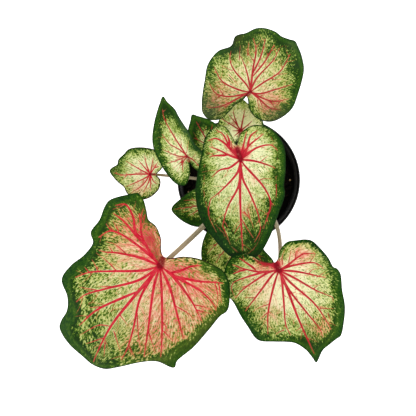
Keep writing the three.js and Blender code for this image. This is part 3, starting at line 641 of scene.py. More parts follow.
def tissue_finish(look):
    """Leaf tissue: cream with green speckles, blush, red veins and a green band."""
    finish = Finish("leaf_tissue", Specular_IOR_Level=.04)
    gap, reach, tone = finish.attribute("veins")
    rim, side, width = finish.attribute("edge")
    green, blush, shade = finish.attribute("paint")
    across, along, wide = finish.attribute("flow")
    depth, ring, hubness = finish.attribute("band")
    place = finish.place()
    far = finish.step(along, 34, FAR_ARC)

    def flowing(broad, long, seed):
        """Noise drawn out along the leaf, with features broad by long in 1/mm."""
        near = finish.noise(finish.vector(across * broad, along * long, seed), 1, 2, .6)
        away = finish.noise(finish.vector(wide * broad, along * long, seed + 5), 1, 2, .6)
        return near + (away - near) * far

    dashes = flowing(.68, .24, 3)
    threads = flowing(.85, .07, 21)
    streaks = finish.noise(finish.vector(across * .22, along * .035, 5), 1, 2, .55)
    mottle = finish.noise(place, 9 * MM, 3, .6)
    grain = finish.noise(place, 1.4 * MM, 1, .5)
    speckle = .5 + (dashes * .58 + grain * .24 + threads * .18 - .5) * 1.65

    # the ground, from cream to green, and the pink that lies on it
    toward = finish.step(rim - width, 9, 0) * finish.step(width, 1, 5)
    density = green + (mottle - .5) * .5 + (streaks - .5) * .4 + (threads - .5) * .3
    density = density + toward * .22 - blush * .24
    tissue = finish.ramp(finish.clamp(density), [
        (.0, look.cream), (.36, look.lime), (.80, look.leaf), (1, look.deep)])
    tissue = finish.blend(tissue, look.leaf, finish.step(speckle + density * .3, .46, .62) * .45)
    beside = finish.step(gap, 4.5, .3) * finish.step(blush, .05, .4)
    pink = blush * (.15 + streaks * .8 + threads * .75) + (threads - .5) * 1.6 * blush
    pink = finish.clamp(pink + beside * .26) * (1 - finish.step(speckle, .48, .34) * .6)
    tissue = finish.blend(tissue, look.blush, pink)
    lines = finish.step(threads + blush * .2, .56, .66) * finish.step(blush, .1, .5)
    tissue = finish.blend(tissue, look.crimson, lines * .55)
    bloom = finish.step(blush, .8, 1.2)
    tissue = finish.blend(tissue, BLOOM, bloom * .85)

    # speckles in three greens
    speck = speckle + density * .36 + finish.clamp(density - .42) * .5
    bare = (1 - pink * .3) * (1 - bloom * .9)
    tissue = finish.blend(tissue, look.leaf, finish.step(speck, .59, .66) * bare)
    tissue = finish.blend(tissue, look.deep, finish.step(speck, .66, .72) * bare)
    tissue = finish.blend(tissue, look.night, finish.step(speck, .75, .85) * .8 * bare)

    # the green band, with a ragged inner edge and the salmon vein along it
    edge = width * (1 + (mottle - .5) * .9)
    in_band = finish.step(edge - rim + (speckle - .5) * 13, -1.0, 1.0) * finish.step(width, .3, 1.5)
    dark = depth + (mottle - .5) * .5 + (speckle - .5) * 1.5
    dark = dark + finish.step(rim - edge, 0, -6) * .3 - .16
    band_green = finish.ramp(finish.clamp(dark), [
        (.0, BAND_PALE), (.32, look.deep), (.66, BAND_DARK), (1, look.night)])
    band_green = finish.blend(band_green, BAND_OLIVE, finish.step(blush, .15, .5) * .3)
    tissue = finish.blend(tissue, band_green, in_band * (1 - bloom * .85))

    rose = finish.step(abs(rim - edge - 1.2), 1.0, .2) * ring * finish.step(width, 2, 5)
    tissue = finish.blend(tissue, look.salmon, rose * finish.step(mottle, .42, .56) * .6)

    # the veins, a painted highlight down the thick ones, a lighter line beside them, and the spot over the
    # petiole
    halo = finish.step(gap, 1.7, .5) * finish.step(reach, 1.1, .6) * finish.step(density, .6, .3)
    halo = halo * finish.step(blush, .5, .1)
    tissue = finish.blend(tissue, look.cream, halo * .35)
    vein_red = finish.blend(look.brick, look.crimson, tone)
    vein_red = finish.blend(vein_red, look.hub, finish.step(grain * .5 + streaks * .5, .46, .62) * .45)
    # painted highlight along the middle of a thick vein, broken into patches
    crest_highlight = finish.step(gap, -.35, -1.1) * finish.step(mottle, .4, .6)
    vein_red = finish.blend(vein_red, VEIN_HIGHLIGHT, crest_highlight * .3)
    vein_red = finish.blend(vein_red, look.salmon, finish.step(reach, .84, 1.15) * (.25 + tone * .75))
    vein = finish.step(gap + (grain - .5) * .5, .28, -.22)
    faded = (1 - finish.step(reach, .75, 1.35) * .55) * (1 - in_band * .3)
    tissue = finish.blend(tissue, vein_red, vein * faded)
    hub_red = finish.blend(HUB_EDGE, look.hub, finish.step(hubness, .3, .95))
    tissue = finish.blend(tissue, hub_red, finish.clamp(hubness + (grain - .5) * hubness) * .96)

    # the dark line round the margin
    maroon = finish.step(along, 80, 34) * finish.step(tone, .7, .95)
    outline = finish.blend(look.night, MAROON, maroon)
    drawn = finish.step(rim, 1.3, .25) * (.45 + depth * .4 + maroon * .4) * finish.step(hubness, .5, .1)
    tissue = finish.blend(tissue, outline, drawn)
    # painted shade: the paint's shade greys and darkens the tissue by up to half
    tissue = finish.blend(tissue, PAINTED_SHADE, finish.clamp(shade) * .5)
    finish.drive(
        Base_Color=finish.blend(tissue, UNDERSIDE, finish.step(side, .55, .95) * .55),
        Roughness=.46 + mottle * .14 + vein * .06,
        Normal=finish.bump(grain * .6 + dashes * .4, .22, .25 * MM),
    )
    return finish.material


def stalk_finish(look):
    """Petiole: tan to olive, with fine dark streaks and dashes along it."""
    finish = Finish("leaf_stem", Specular_IOR_Level=.35)
    around, along, share = finish.attribute("stalk")
    place = finish.place()
    streaks = finish.noise(finish.vector(around * 1.1, along * .05), 1, 3, .6)
    flecks = finish.noise(finish.vector(around * 1.6, along * .35, 4), 1, 2, .6)
    colour = finish.blend(look.stalk, look.streak, finish.step(streaks, .38, .62) * .8)
    # darker towards the soil: the stalk's own dark foot, drawn on up to three fifths of its length as
    # painted shade from the leaves over it
    colour = finish.blend(colour, look.foot, finish.step(share, .62, .05) * .8)
    colour = finish.blend(colour, TAN, finish.step(share, .6, 1) * .45)
    colour = finish.blend(colour, FLECK, finish.step(flecks, .58, .70) * .5)
    colour = finish.blend(colour, RED_TOP, finish.step(share, .955, 1.0) * .8)
    finish.drive(
        Base_Color=colour,
        Roughness=.42 + finish.noise(place, 5 * MM) * .16,
        Normal=finish.bump(streaks, .35, .3 * MM),
    )
    return finish.material


def plastic_finish(look):
    """Satin black plastic with dust, fine scuffs and a moulded grain."""
    finish = Finish("pot_plastic", Specular_IOR_Level=.42)
    place = finish.place()
    _, _, height = finish.parts(place)
    grain = finish.noise(place, .6 * MM, 3)
    cloud = finish.noise(place, 16 * MM, 4, .6)
    turned = finish.node("ShaderNodeMapping", {"vector_type": "POINT"}, {0: place, 3: (1, 1, 14)})
    flow = finish.noise(turned, 30 * MM, 3)
    low = finish.step(height, 20 * MM, 0)
    colour = finish.blend(look.plastic, look.dust, finish.step(cloud, .48, .78) * .10 + low * .08)
    colour = finish.blend(colour, SCUFF, finish.step(flow, .5, .75) * .2)
    finish.drive(
        Base_Color=colour,
        Roughness=.34 + cloud * .2 + flow * .08,
        Normal=finish.bump(grain * .6 + flow * .8, .16, .3 * MM),
    )
    return finish.material


def crumb_finish(name, colour, spread, grain_size):
    """A rough mineral or woody crumb whose tone changes from bit to bit."""
    finish = Finish(name, Specular_IOR_Level=.06)
    place = finish.place()
    tone = finish.noise(place, 3.5 * MM, 3, .7)
    grain = finish.noise(place, grain_size, 4, .65)
    dark = tuple(c * (1 - spread) for c in colour)
    light = tuple(min(1, c * (1 + spread)) for c in colour)
    finish.drive(
        Base_Color=finish.blend(dark, light, finish.clamp(tone * .9 + grain * .7 - .3)),
        Roughness=.82 + grain * .15,
        Normal=finish.bump(grain, .7, grain_size * .4),
    )
    return finish.material


# ------------------------------------------------------------------ mesh helpers

def leave_edit_mode():
    if bpy.context.mode != "OBJECT":
        bpy.ops.object.mode_set(mode="OBJECT")
    bpy.ops.object.select_all(action="DESELECT")


def select_only(piece):
    leave_edit_mode()
    piece.select_set(True)
    bpy.context.view_layer.objects.active = piece


def new_piece(name, points, faces):
    """A smooth mesh object from points in metres."""
    mesh = bpy.data.meshes.new(name)
    mesh.from_pydata([tuple(p) for p in points], [], [tuple(int(i) for i in f) for f in faces])
    mesh.validate()
    piece = bpy.data.objects.new(name, mesh)
    bpy.context.scene.collection.objects.link(piece)
    select_only(piece)
    bpy.ops.object.shade_smooth()
    return piece


def hold(mesh, name, rows):
    """Keeps a vector for each point, which a material reads by its name."""
    layer = mesh.attributes.new(name, "FLOAT_VECTOR", "POINT")
    layer.data.foreach_set("vector", np.asarray(rows, np.float32).ravel())


def finish_piece(piece, material, slot, *nodes):
    piece.data.materials.clear()
    piece.data.materials.append(material)
    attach(piece, "root")
    if nodes:
        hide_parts(*nodes)
    leave_edit_mode()


def spaced(points, step, closed=False):
    """Points a step apart on the smooth centripetal curve through a few points."""
    p = np.asarray(points, float)
    if len(p) < 2:
        return p
    if closed:
        ring = np.vstack([p[-1], p, p[0], p[1]])
    else:
        ring = np.vstack([2 * p[0] - p[1], p, 2 * p[-1] - p[-2]])
    fine = []
    for a, b, c, d in zip(ring, ring[1:], ring[2:], ring[3:]):
        t0 = 0.0
        t1 = t0 + math.sqrt(np.linalg.norm(b - a))
        t2 = t1 + math.sqrt(np.linalg.norm(c - b))
        t3 = t2 + math.sqrt(np.linalg.norm(d - c))
        t = np.linspace(t1, t2, 24, endpoint=False)[:, None]
        ab = (t1 - t) / (t1 - t0) * a + (t - t0) / (t1 - t0) * b
        bc = (t2 - t) / (t2 - t1) * b + (t - t1) / (t2 - t1) * c
        cd = (t3 - t) / (t3 - t2) * c + (t - t2) / (t3 - t2) * d
        abc = (t2 - t) / (t2 - t0) * ab + (t - t0) / (t2 - t0) * bc
        bcd = (t3 - t) / (t3 - t1) * bc + (t - t1) / (t3 - t1) * cd
        fine.append((t2 - t) / (t2 - t1) * abc + (t - t1) / (t2 - t1) * bcd)
    fine = np.vstack(fine + [p[:1] if closed else p[-1:]])
    length = np.concatenate([[0], np.cumsum(np.linalg.norm(np.diff(fine, axis=0), axis=1))])
    count = max(2, round(length[-1] / step))
    places = np.linspace(0, length[-1], count + 1)[:-1 if closed else None]
    return np.stack([np.interp(places, length, fine[:, k]) for k in (0, 1)], 1)


def smooth(value, low, high):
    t = np.clip((np.asarray(value, float) - low) / (high - low), 0, 1)
    return t * t * (3 - 2 * t)


# ------------------------------------------------------------------ blades

class Leaf:
    """One leaf, with its outline, its veins and the height of its blade."""

    def __init__(self, name, facts):
        self.name = name
        for key, value in {**PLAIN, **facts}.items():
            setattr(self, key, value)
        self.outline = spaced(facts.get("margin") or heart(*self.heart), ROW, closed=True)
        angle = np.unwrap(np.arctan2(self.outline[:, 1], self.outline[:, 0]))
        self.start_angle = angle[0]
        self.turned = np.maximum.accumulate(np.abs(angle - angle[0]))
        self.way = np.sign(angle[-1] - angle[0])
        self.reach = np.hypot(*self.outline.T)
        self.even = self.even_share()
        self.random = random.Random(name)
        self.veins = self.grow_veins()

    def turned_to(self, u, v):
        """The angle from the sinus round to each point."""
        return (self.way * (np.arctan2(v, u) - self.start_angle)) % (2 * math.pi)

    def round_share(self, turned):
        """For each angle from the sinus, how far round the margin it is, from 0 to 1."""
        ends = np.append(self.turned, 2 * math.pi)
        return np.interp(turned, ends, np.linspace(0, 1, len(ends)))

    def even_share(self):
        """round_share at each whole degree, evened out over the bumps of the margin."""
        turned = np.radians(np.arange(-EVEN, 361 + EVEN))
        share = self.round_share(turned % (2 * math.pi))
        share += np.floor(turned / (2 * math.pi))
        share[EVEN + 360] = 1   # one whole turn, which else counts as none
        return np.convolve(share, np.ones(2 * EVEN + 1) / (2 * EVEN + 1), "valid")

    def even_round(self, u, v):
        return np.interp(np.degrees(self.turned_to(u, v)), np.arange(361), self.even)

    def out_share(self, u, v):
        """How far out each point is, 0 at the petiole and 1 on the margin."""
        ends = np.linspace(0, 1, len(self.reach) + 1)
        rim = np.interp(self.round_share(self.turned_to(u, v)), ends, np.append(self.reach, self.reach[0]))
        return np.hypot(u, v) / rim

    def height(self, u, v):
        """The blade's upper face without ruffle or relief."""
        left, right = self.fold
        bend = np.where(u > 0, self.droop, self.back)
        crease = np.where(v > 0, left, right) * (np.sqrt(v * v + CREASE ** 2) - CREASE)
        slope = math.tan(math.radians(self.pitch))
        return -u * slope - bend * u * u + self.roll * v - self.arch * v * v - crease

    def ruffle(self, u, v, out):
        high, count, phase = self.waves
        return high * out ** 3 * np.sin(2 * math.pi * count * self.even_round(u, v) + phase)

    def steepness(self, u, v):
        du = (self.height(u + .01, v) - self.height(u - .01, v)) / .02
        dv = (self.height(u, v + .01) - self.height(u, v - .01)) / .02
        return np.sqrt(1 + du * du + dv * dv)

    def grow_veins(self):
        """Each vein as (points, half widths, reach from the petiole's end to the far end)."""
        size = math.sqrt(self.reach.mean() / USUAL_REACH) * self.stout
        veins = []
        for rank, (wide, thin, start, faster, foot) in RANKS.items():
            for line in getattr(self, rank):
                points = spaced(line, VEIN_STEP)
                share = np.linspace(0, 1, len(points))
                full = foot + (1 - foot) * smooth(share, 0, .22)
                width = (wide - (wide - thin) * share ** 1.7) * full * size
                veins.append((points, width / 2, start + share * (1 - start) * faster))
        veins.extend(self.veinlets(veins, size))
        return veins

    def veinlets(self, veins, size):
        """Thin side veins that leave the larger ones and curve towards the margin."""
        tree = planar_tree(np.vstack([points for points, _, _ in veins]))
        owner = [number for number, (points, _, _) in enumerate(veins) for _ in points]
        grown = []
        for number, (points, _, _) in enumerate(veins[:len(self.midribs) + len(self.mains)]):
            place = VEINLET_START * size
            side = self.random.choice((-1, 1))
            while (place + VEINLET_END) / VEIN_STEP < len(points):
                foot = int(place / VEIN_STEP)
                ahead = points[foot + 4] - points[foot]
                turn = side * math.radians(self.random.uniform(*VEINLET_TURN))
                path = [points[foot]]
                heading = math.atan2(ahead[1], ahead[0]) + turn
                for _ in range(int(self.random.uniform(*VEINLET_LENGTH) * size)):
                    heading -= turn * VEINLET_CURL
                    step = np.array([math.cos(heading), math.sin(heading)])
                    spot = path[-1] + step
                    _, near, away = tree.find((*spot, 0))
                    if self.out_share(*spot) > .9 or (owner[near] != number and away < VEINLET_CLEAR):
                        break
                    path.append(spot)
                if len(path) > VEINLET_LEAST:
                    share = np.linspace(0, 1, len(path))
                    wide, thin = VEINLET_WIDTH
                    half = (wide - (wide - thin) * share) / 2 * size
                    grown.append((np.array(path), half, 1.0 + share * .4))
                place += self.random.uniform(*VEINLET_APART) * size
                side = -side
        return grown

    def sample(self):
        """A tree of the points along all veins, with their half widths and reach."""
        points = np.vstack([line for line, _, _ in self.veins])
        half = np.concatenate([widths for _, widths, _ in self.veins])
        reach = np.concatenate([far for _, _, far in self.veins])
        return planar_tree(points), half, reach


def planar_tree(points):
    """A tree that finds the nearest of some points in the plane."""
    tree = KDTree(len(points))
    for i, point in enumerate(points):
        tree.insert((*point, 0), i)
    tree.balance()
    return tree


def heart(length, half_width, lobe):
    """The margin of a plain heart-shaped blade, from the sinus round to the tip and back."""
    behind = [(-.9, .2), (-1, .5), (-.45, .88), (0, 1)]
    ahead = [(.35, .93), (.68, .6), (.9, .2)]
    left = [(u * lobe, v * half_width) for u, v in behind]
    left += [(u * length, v * half_width) for u, v in ahead]
    return [(-.45 * lobe, 0), *((u, -v) for u, v in left), (length, 0), *reversed(left)]


def sift(points, apart, kept=()):
    """Leaves out points that are closer than apart to one that is already kept."""
    cells = {}
    chosen = []

    def free(point):
        column, row = int(point[0] // apart), int(point[1] // apart)
        for i in (column - 1, column, column + 1):
            for j in (row - 1, row, row + 1):
                for other in cells.get((i, j), ()):
                    if math.dist(point, other) < apart:
                        return False
        return True

    def keep(point):
        cells.setdefault((int(point[0] // apart), int(point[1] // apart)), []).append(point)

    for point in kept:
        keep(tuple(point))
    for point in points:
        point = tuple(point)
        if free(point):
            keep(point)
            chosen.append(point)
    return chosen


def plan_points(leaf, spacing):
    """The points of a blade's plan: the margin, rows inside it and along veins, and a fill."""
    margin = leaf.outline
    outward = margin_outward(margin)
    rows = []
    for points, half, _ in leaf.veins:
        stride = round(ROW / VEIN_STEP)
        line, widths = points[::stride], half[::stride]
        if len(line) < 2:
            continue
        along = np.gradient(line, axis=0)
        along /= np.linalg.norm(along, axis=1)[:, None]
        aside = np.stack([-along[:, 1], along[:, 0]], 1)
        rows.append(line)
        if widths.max() > .4:
            rows.append(line + aside * widths[:, None] * 1.15)
            rows.append(line - aside * widths[:, None] * 1.15)
    rows = np.vstack(rows)
    inner = np.vstack([margin - outward * inset for inset in (.6, 1.6)])
    low, high = margin.min(0), margin.max(0)
    columns = np.arange(low[0], high[0], spacing)
    lines = np.arange(low[1], high[1], spacing * math.sqrt(.75))
    fill = np.array([(u + (j % 2) * spacing / 2, v) for j, v in enumerate(lines) for u in columns])

    def inside(points, least):
        share = leaf.out_share(points[:, 0], points[:, 1])
        return points[share * (1 + least / np.maximum(np.hypot(*points.T), 1)) < 1]

    close = sift(inside(inner, .4), LEAST_GAP, margin)
    close += sift(inside(rows, .5), LEAST_GAP, np.vstack([margin, close]))
    fill = sift(inside(fill, .8), spacing * .66, np.vstack([margin, close]))
    return np.vstack([margin, close, fill])


def margin_outward(margin):
    """Unit vectors out of a closed outline in its plane."""
    along = np.roll(margin, -1, 0) - np.roll(margin, 1, 0)
    along /= np.linalg.norm(along, axis=1)[:, None]
    outward = np.stack([along[:, 1], -along[:, 0]], 1)
    u, v = margin.T
    area = np.sum(u * np.roll(v, -1) - np.roll(u, -1) * v)
    return outward * (1 if area > 0 else -1)


def triangulate(points, count):
    """Triangles over the plan points, the first count of which are its margin."""
    loop = list(range(count))
    done = delaunay_2d_cdt([Vector(p) for p in points], [], [loop], 1, 1e-5)
    spots = np.array([tuple(v) for v in done[0]])
    faces = np.array([f for f in done[2] if len(f) == 3])
    a, b, c = (spots[faces[:, k]] for k in range(3))
    turn = (b - a)[:, 0] * (c - a)[:, 1] - (b - a)[:, 1] * (c - a)[:, 0]
    faces[turn < 0] = faces[turn < 0][:, ::-1]
    return spots, faces[np.abs(turn) > 1e-9]


def border(faces):
    """The directed edges that only one triangle has."""
    edges = {(int(f[i]), int(f[(i + 1) % 3])) for f in faces for i in range(3)}
    return [(a, b) for a, b in edges if (b, a) not in edges]


def read_veins(leaf, spots):
    """For each point the gap to the nearest vein's edge, the way to its middle, and its reach."""
    tree, half, reach = leaf.sample()
    gap = np.empty(len(spots))
    middle = np.empty(len(spots))
    way = np.empty(len(spots))
    for i, spot in enumerate(spots):
        near = tree.find_n((*spot, 0), 7)
        best = min(near, key=lambda found: found[2] - half[found[1]])
        gap[i] = best[2] - half[best[1]]
        middle[i] = best[2] / half[best[1]]
        way[i] = reach[best[1]]
    return gap, middle, way


def margin_distance(leaf, spots):
    """How far each point is from the margin."""
    margin = leaf.outline
    ahead = np.roll(margin, -1, 0)
    tree = planar_tree(margin)
    away = np.empty(len(spots))
    for i, spot in enumerate(spots):
        near = []
        for _, index, _ in tree.find_n((*spot, 0), 2):
            for start, end in ((margin[index], ahead[index]), (margin[index - 1], margin[index])):
                span = end - start
                t = min(1, max(0, float((spot - start) @ span / (span @ span))))
                near.append(math.dist(spot, start + t * span))
        away[i] = min(near)
    return away


def paint_leaf(leaf, spots, gap, out):
    """Green, blush and painted shade at each point."""
    u, v = spots.T
    beside = smooth(gap, 4.5, .3) * smooth(out, .8, .15)
    green = leaf.green + leaf.fringe * smooth(out, .45, 1) - .18 * beside - .12 * smooth(out, .35, .05)
    blush = np.full(len(spots), float(leaf.blush)) * (1 - .45 * smooth(out, .55, 1))
    shade = np.zeros(len(spots))
    for layer, patches in ((green, leaf.more_green), (blush, leaf.more_blush), (shade, leaf.more_shade)):
        for at_u, at_v, radius, amount in patches:
            layer += amount * np.exp(-((u - at_u) ** 2 + (v - at_v) ** 2) / (radius * radius / 2))
    return np.stack([green, np.clip(blush, 0, 1.5), shade], 1)


def band_round(leaf, spots):
    """Width and depth of the green band in the direction of each point."""
    rims = np.array(leaf.rims, float)
    places = leaf.even_round(rims[:, 0], rims[:, 1])
    order = np.argsort(places)
    here = leaf.even_round(*spots.T)
    return [np.interp(here, places[order], rims[order, k], period=1) for k in (2, 3)]


def blade_mesh(leaf, look):
    """A closed sheet with furrows over its veins and ribs under them."""
    spots, faces = triangulate(plan_points(leaf, look.spacing / MM), len(leaf.outline))
    u, v = spots.T
    count = len(spots)
    gap, middle, reach = read_veins(leaf, spots)
    rim = margin_distance(leaf, spots)
    from_hub = np.hypot(u, v)
    out = from_hub / (from_hub + rim)

    base = leaf.height(u, v) + leaf.ruffle(u, v, out)
    swell = look.pucker / MM * smooth(gap, 0, SIDE_REACH) * smooth(rim, 1, 16)
    furrow = look.furrow / MM * smooth(middle, 1.7, .2) * smooth(rim, 0, 5)
    furrow *= 1.05 - .5 * np.clip(out, 0, 1)
    flutter = np.array([noise.noise((a / FLUTTER_SIZE, b / FLUTTER_SIZE, leaf.heading)) for a, b in spots])
    top = base + swell - furrow + FLUTTER * flutter * smooth(out, .4, 1)
    thick = TIP_THICKNESS + (look.thickness / MM - TIP_THICKNESS) * smooth(rim, 0, 4)
    rib = look.rib / MM * smooth(middle, 1.5, .1) * smooth(rim, 0, 8) * (1.15 - np.clip(out, 0, 1))
    boss = BOSS * smooth(from_hub, leaf.radius * 1.7, leaf.radius * .5)
    bottom = top - (thick + rib + boss) * leaf.steepness(u, v)

    edges = border(faces)
    outward = np.zeros((count, 2))
    for a, b in edges:
        normal = np.array([(spots[b] - spots[a])[1], -(spots[b] - spots[a])[0]])
        normal /= np.linalg.norm(normal)
        outward[a] += normal
        outward[b] += normal
    rim_points = np.array(sorted({a for a, _ in edges}))
    middle_of = {a: 2 * count + i for i, a in enumerate(rim_points.tolist())}
    outward[rim_points] /= np.linalg.norm(outward[rim_points], axis=1)[:, None]
    lip = spots[rim_points] + outward[rim_points] * LIP
    lip_height = (top[rim_points] + bottom[rim_points]) / 2

    points = np.vstack([
        np.column_stack([spots, top]), np.column_stack([spots, bottom]), np.column_stack([lip, lip_height])])
    upper = [tuple(f) for f in faces]
    lower = [(a + count, c + count, b + count) for a, b, c in faces]
    upper_rim = [(b, a, middle_of[a], middle_of[b]) for a, b in edges]
    lower_rim = [(middle_of[b], middle_of[a], a + count, b + count) for a, b in edges]

    turn = Matrix.Rotation(math.radians(leaf.heading), 3, "Z")
    placed = points @ np.array(turn).T + np.array(leaf.at)
    piece = new_piece(f"leaf_{leaf.name}", placed * MM, upper + upper_rim + lower + lower_rim)

    back = np.concatenate([np.arange(count), np.arange(count), rim_points])
    sinus = leaf.outline[0] * .8
    along_hub = np.clip((spots @ sinus) / (sinus @ sinus), 0, 1)
    from_sinus = np.linalg.norm(spots - along_hub[:, None] * sinus, axis=1) / leaf.hub
    hubness = smooth(1.15 - from_sinus * (1 + .3 * along_hub), 0, .8)
    side = np.concatenate([np.zeros(count), np.ones(count), np.zeros(len(rim_points))])
    angle = np.arctan2(v, u)
    tilt = .22 * from_hub * np.tanh(v / 6)
    same = np.ones(count)
    width, depth = band_round(leaf, spots)
    hold(piece.data, "veins", np.column_stack([gap, reach, same * leaf.tone])[back])
    rim_row = rim[back]
    rim_row[2 * count:] = 0
    hold(piece.data, "edge", np.column_stack([rim_row, side, width[back]]))
    hold(piece.data, "band", np.column_stack([depth, same * leaf.ring, hubness])[back])
    hold(piece.data, "paint", paint_leaf(leaf, spots, gap, out)[back])
    flow = [angle * NEAR_ARC + tilt, from_hub, angle * FAR_ARC + tilt]
    hold(piece.data, "flow", (np.column_stack(flow) * leaf.fine)[back])
    lay_out(piece.data, points, len(upper) + len(upper_rim))
    return piece


def lay_out(mesh, points, upper_faces):
    """A UV map with the upper face of a blade in the left half and the underside in the right."""
    plan = points[:, :2] - points[:, :2].min(0) + 1
    width = np.ptp(plan, axis=0) + 2
    if width[0] > width[1]:
        plan, width = plan[:, ::-1], width[::-1]
    unit = plan / np.array([max(width[0], width[1] / 2) * 2, max(width[1], width[0] * 2)])
    layer = mesh.uv_layers.new(name="OFBake", do_init=False)
    corners = np.empty(len(mesh.loops), int)
    mesh.loops.foreach_get("vertex_index", corners)
    starts = np.empty(len(mesh.polygons), int)
    mesh.polygons.foreach_get("loop_start", starts)
    spots = unit[corners]
    spots[starts[upper_faces]:, 0] += .5
    layer.uv.foreach_set("vector", spots.astype(np.float32).ravel())


class CALADIUM_OT_blades(bpy.types.Operator):
    """Makes the leaf blades, with furrowed veins, puckered tissue and a painted pattern"""

    bl_idname = "caladium.blades"
    bl_label = "Blades"

    def execute(self, context):
        look = context.scene.caladium_blades
        tissue = tissue_finish(look)
        for name, facts in LEAVES.items():
            piece = blade_mesh(Leaf(name, facts), look)
            finish_piece(piece, tissue, "leaf_tissue", f"blade_{name}")
        return {"FINISHED"}


# ------------------------------------------------------------------ petioles

TUBE_SIDES = 12         # round a petiole
TUBE_ROWS = 90          # along it
ROOT_CIRCLE = 19        # radius of the circle on the tuber that most petioles start from
SHEATH_LENGTH = 42      # how far the wide foot reaches up out of the soil
COLLAR_LENGTH = 7       # how far the wide top reaches down from the blade
CUT_LENGTH = 12         # the stretch under the blade that the flat end is cut from
LUMP = .04              # share by which its thickness wanders
LUMP_LENGTH = 9


def blade_normal(leaf):
    """The way that the blade faces where its petiole meets it."""
    normal = Vector((math.tan(math.radians(leaf.pitch)), -leaf.roll, 1)).normalized()
    normal.rotate(Matrix.Rotation(math.radians(leaf.heading), 3, "Z"))
    return normal


def petiole_curve(leaf):
    """The middle line of a petiole as a Bezier curve from the tuber's crown to its blade."""
    crown = TUBER_HIGH.z / MM
    angle = math.radians(leaf.root or 0)
    circle = 0 if leaf.root is None else ROOT_CIRCLE
    root = Vector((circle * math.cos(angle), circle * math.sin(angle), crown))
    seat = Vector(leaf.at) - blade_normal(leaf) * SEAT
    return root, Vector(leaf.low), Vector(leaf.high), seat


def petiole_mesh(leaf, look):
    """A tube along the petiole's curve, closed at both ends."""
    root, low, high, seat = petiole_curve(leaf)
    leave_edit_mode()
    bpy.ops.curve.primitive_bezier_curve_add()
    piece = bpy.context.object
    curve = piece.data
    start, end = curve.splines[0].bezier_points
    for point in (start, end):
        point.handle_left_type = point.handle_right_type = "FREE"
    start.co, start.handle_right, start.handle_left = root * MM, low * MM, root * MM
    end.co, end.handle_left, end.handle_right = seat * MM, high * MM, seat * MM
    curve.dimensions = "3D"
    curve.twist_mode = "MINIMUM"
    curve.resolution_u = TUBE_ROWS
    curve.bevel_depth = leaf.radius * MM
    curve.bevel_resolution = TUBE_SIDES // 2 - 2
    piece.location = (0, 0, 0)
    bpy.ops.object.convert(target="MESH")
    piece = bpy.context.object
    piece.name = piece.data.name = f"stalk_{leaf.name}"
    bpy.ops.object.mode_set(mode="EDIT")
    bpy.ops.mesh.select_all(action="SELECT")
    bpy.ops.mesh.fill_holes(sides=0)
    bpy.ops.mesh.normals_make_consistent(inside=False)
    bpy.ops.object.mode_set(mode="OBJECT")
    shape_petiole(piece.data, leaf, look, seat)
    bpy.ops.object.shade_smooth()
    return piece


def shape_petiole(mesh, leaf, look, seat):
    """Tapers the tube, widens its sheath and collar, and ends it flat under the blade."""
    count = len(mesh.vertices)
    points = np.empty(count * 3)
    mesh.vertices.foreach_get("co", points)
    points = points.reshape(-1, 3) / MM
    sides = TUBE_SIDES
    rings = count // sides
    rows = points[:rings * sides].reshape(rings, sides, 3)
    centres = rows.mean(1)
    steps = np.linalg.norm(np.diff(centres, axis=0), axis=1)
    along = np.concatenate([[0], np.cumsum(steps)])
    share = along / along[-1]
    left = along[-1] - along
    buried = SOIL_HIGH.z / MM - TUBER_HIGH.z / MM
    sheath = look.sheath * smooth(along, buried + SHEATH_LENGTH, buried)
    collar = look.collar * smooth(left, COLLAR_LENGTH, 0)
    width = 1 - look.taper * share + sheath + collar
    lumps = np.array([1 + LUMP * noise.noise((d / LUMP_LENGTH, leaf.heading, 0)) for d in along])
    rows = centres[:, None] + (rows - centres[:, None]) * (width * lumps)[:, None, None]
    normal = np.array(blade_normal(leaf))
    over = (rows - np.array(seat)) @ normal
    way = centres[-1] - centres[-4]
    way /= np.linalg.norm(way)
    near = (left < CUT_LENGTH)[:, None]
    rows = rows - np.where(near & (over > 0), over, 0)[..., None] * way / (way @ normal)
    points[:rings * sides] = rows.reshape(-1, 3)
    mesh.vertices.foreach_set("co", (points * MM).ravel())
    around = np.tile(np.arange(sides) / sides * 2 * math.pi, rings)
    stalk = np.zeros((count, 3))
    stalk[:rings * sides] = np.column_stack([
        leaf.radius * np.sin(around) * 2, np.repeat(along, sides), np.repeat(share, sides)])
    hold(mesh, "stalk", stalk)
    mesh.update()


class CALADIUM_OT_petioles(bpy.types.Operator):
    """Makes the petioles, round stalks with a wide foot and a collar under the blade"""

    bl_idname = "caladium.petioles"
    bl_label = "Petioles"

    def execute(self, context):
        look = context.scene.caladium_petioles
        stem = stalk_finish(look)
        for name, facts in LEAVES.items():
            piece = petiole_mesh(Leaf(name, facts), look)
            finish_piece(piece, stem, "leaf_stem", f"petiole_{name}")
        return {"FINISHED"}


# ------------------------------------------------------------------ pot

FLOOR = 2 * MM          # thickness of the pot's floor
RAISED = 1.2 * MM       # how far the middle of the base stands off the ground
LEAN = 1.2 * MM         # how much wider the band is at its top
GROOVE = .35 * MM       # depth of the two grooves round the band
POT_STEPS = 144         # round the pot
HOLE_SIDES = 32
DRILL_LENGTH = 12 * MM
MERGE = .02 * MM        # points closer than this become one
CREASE_ANGLE = math.radians(38)     # of an edge of the pot that stays sharp


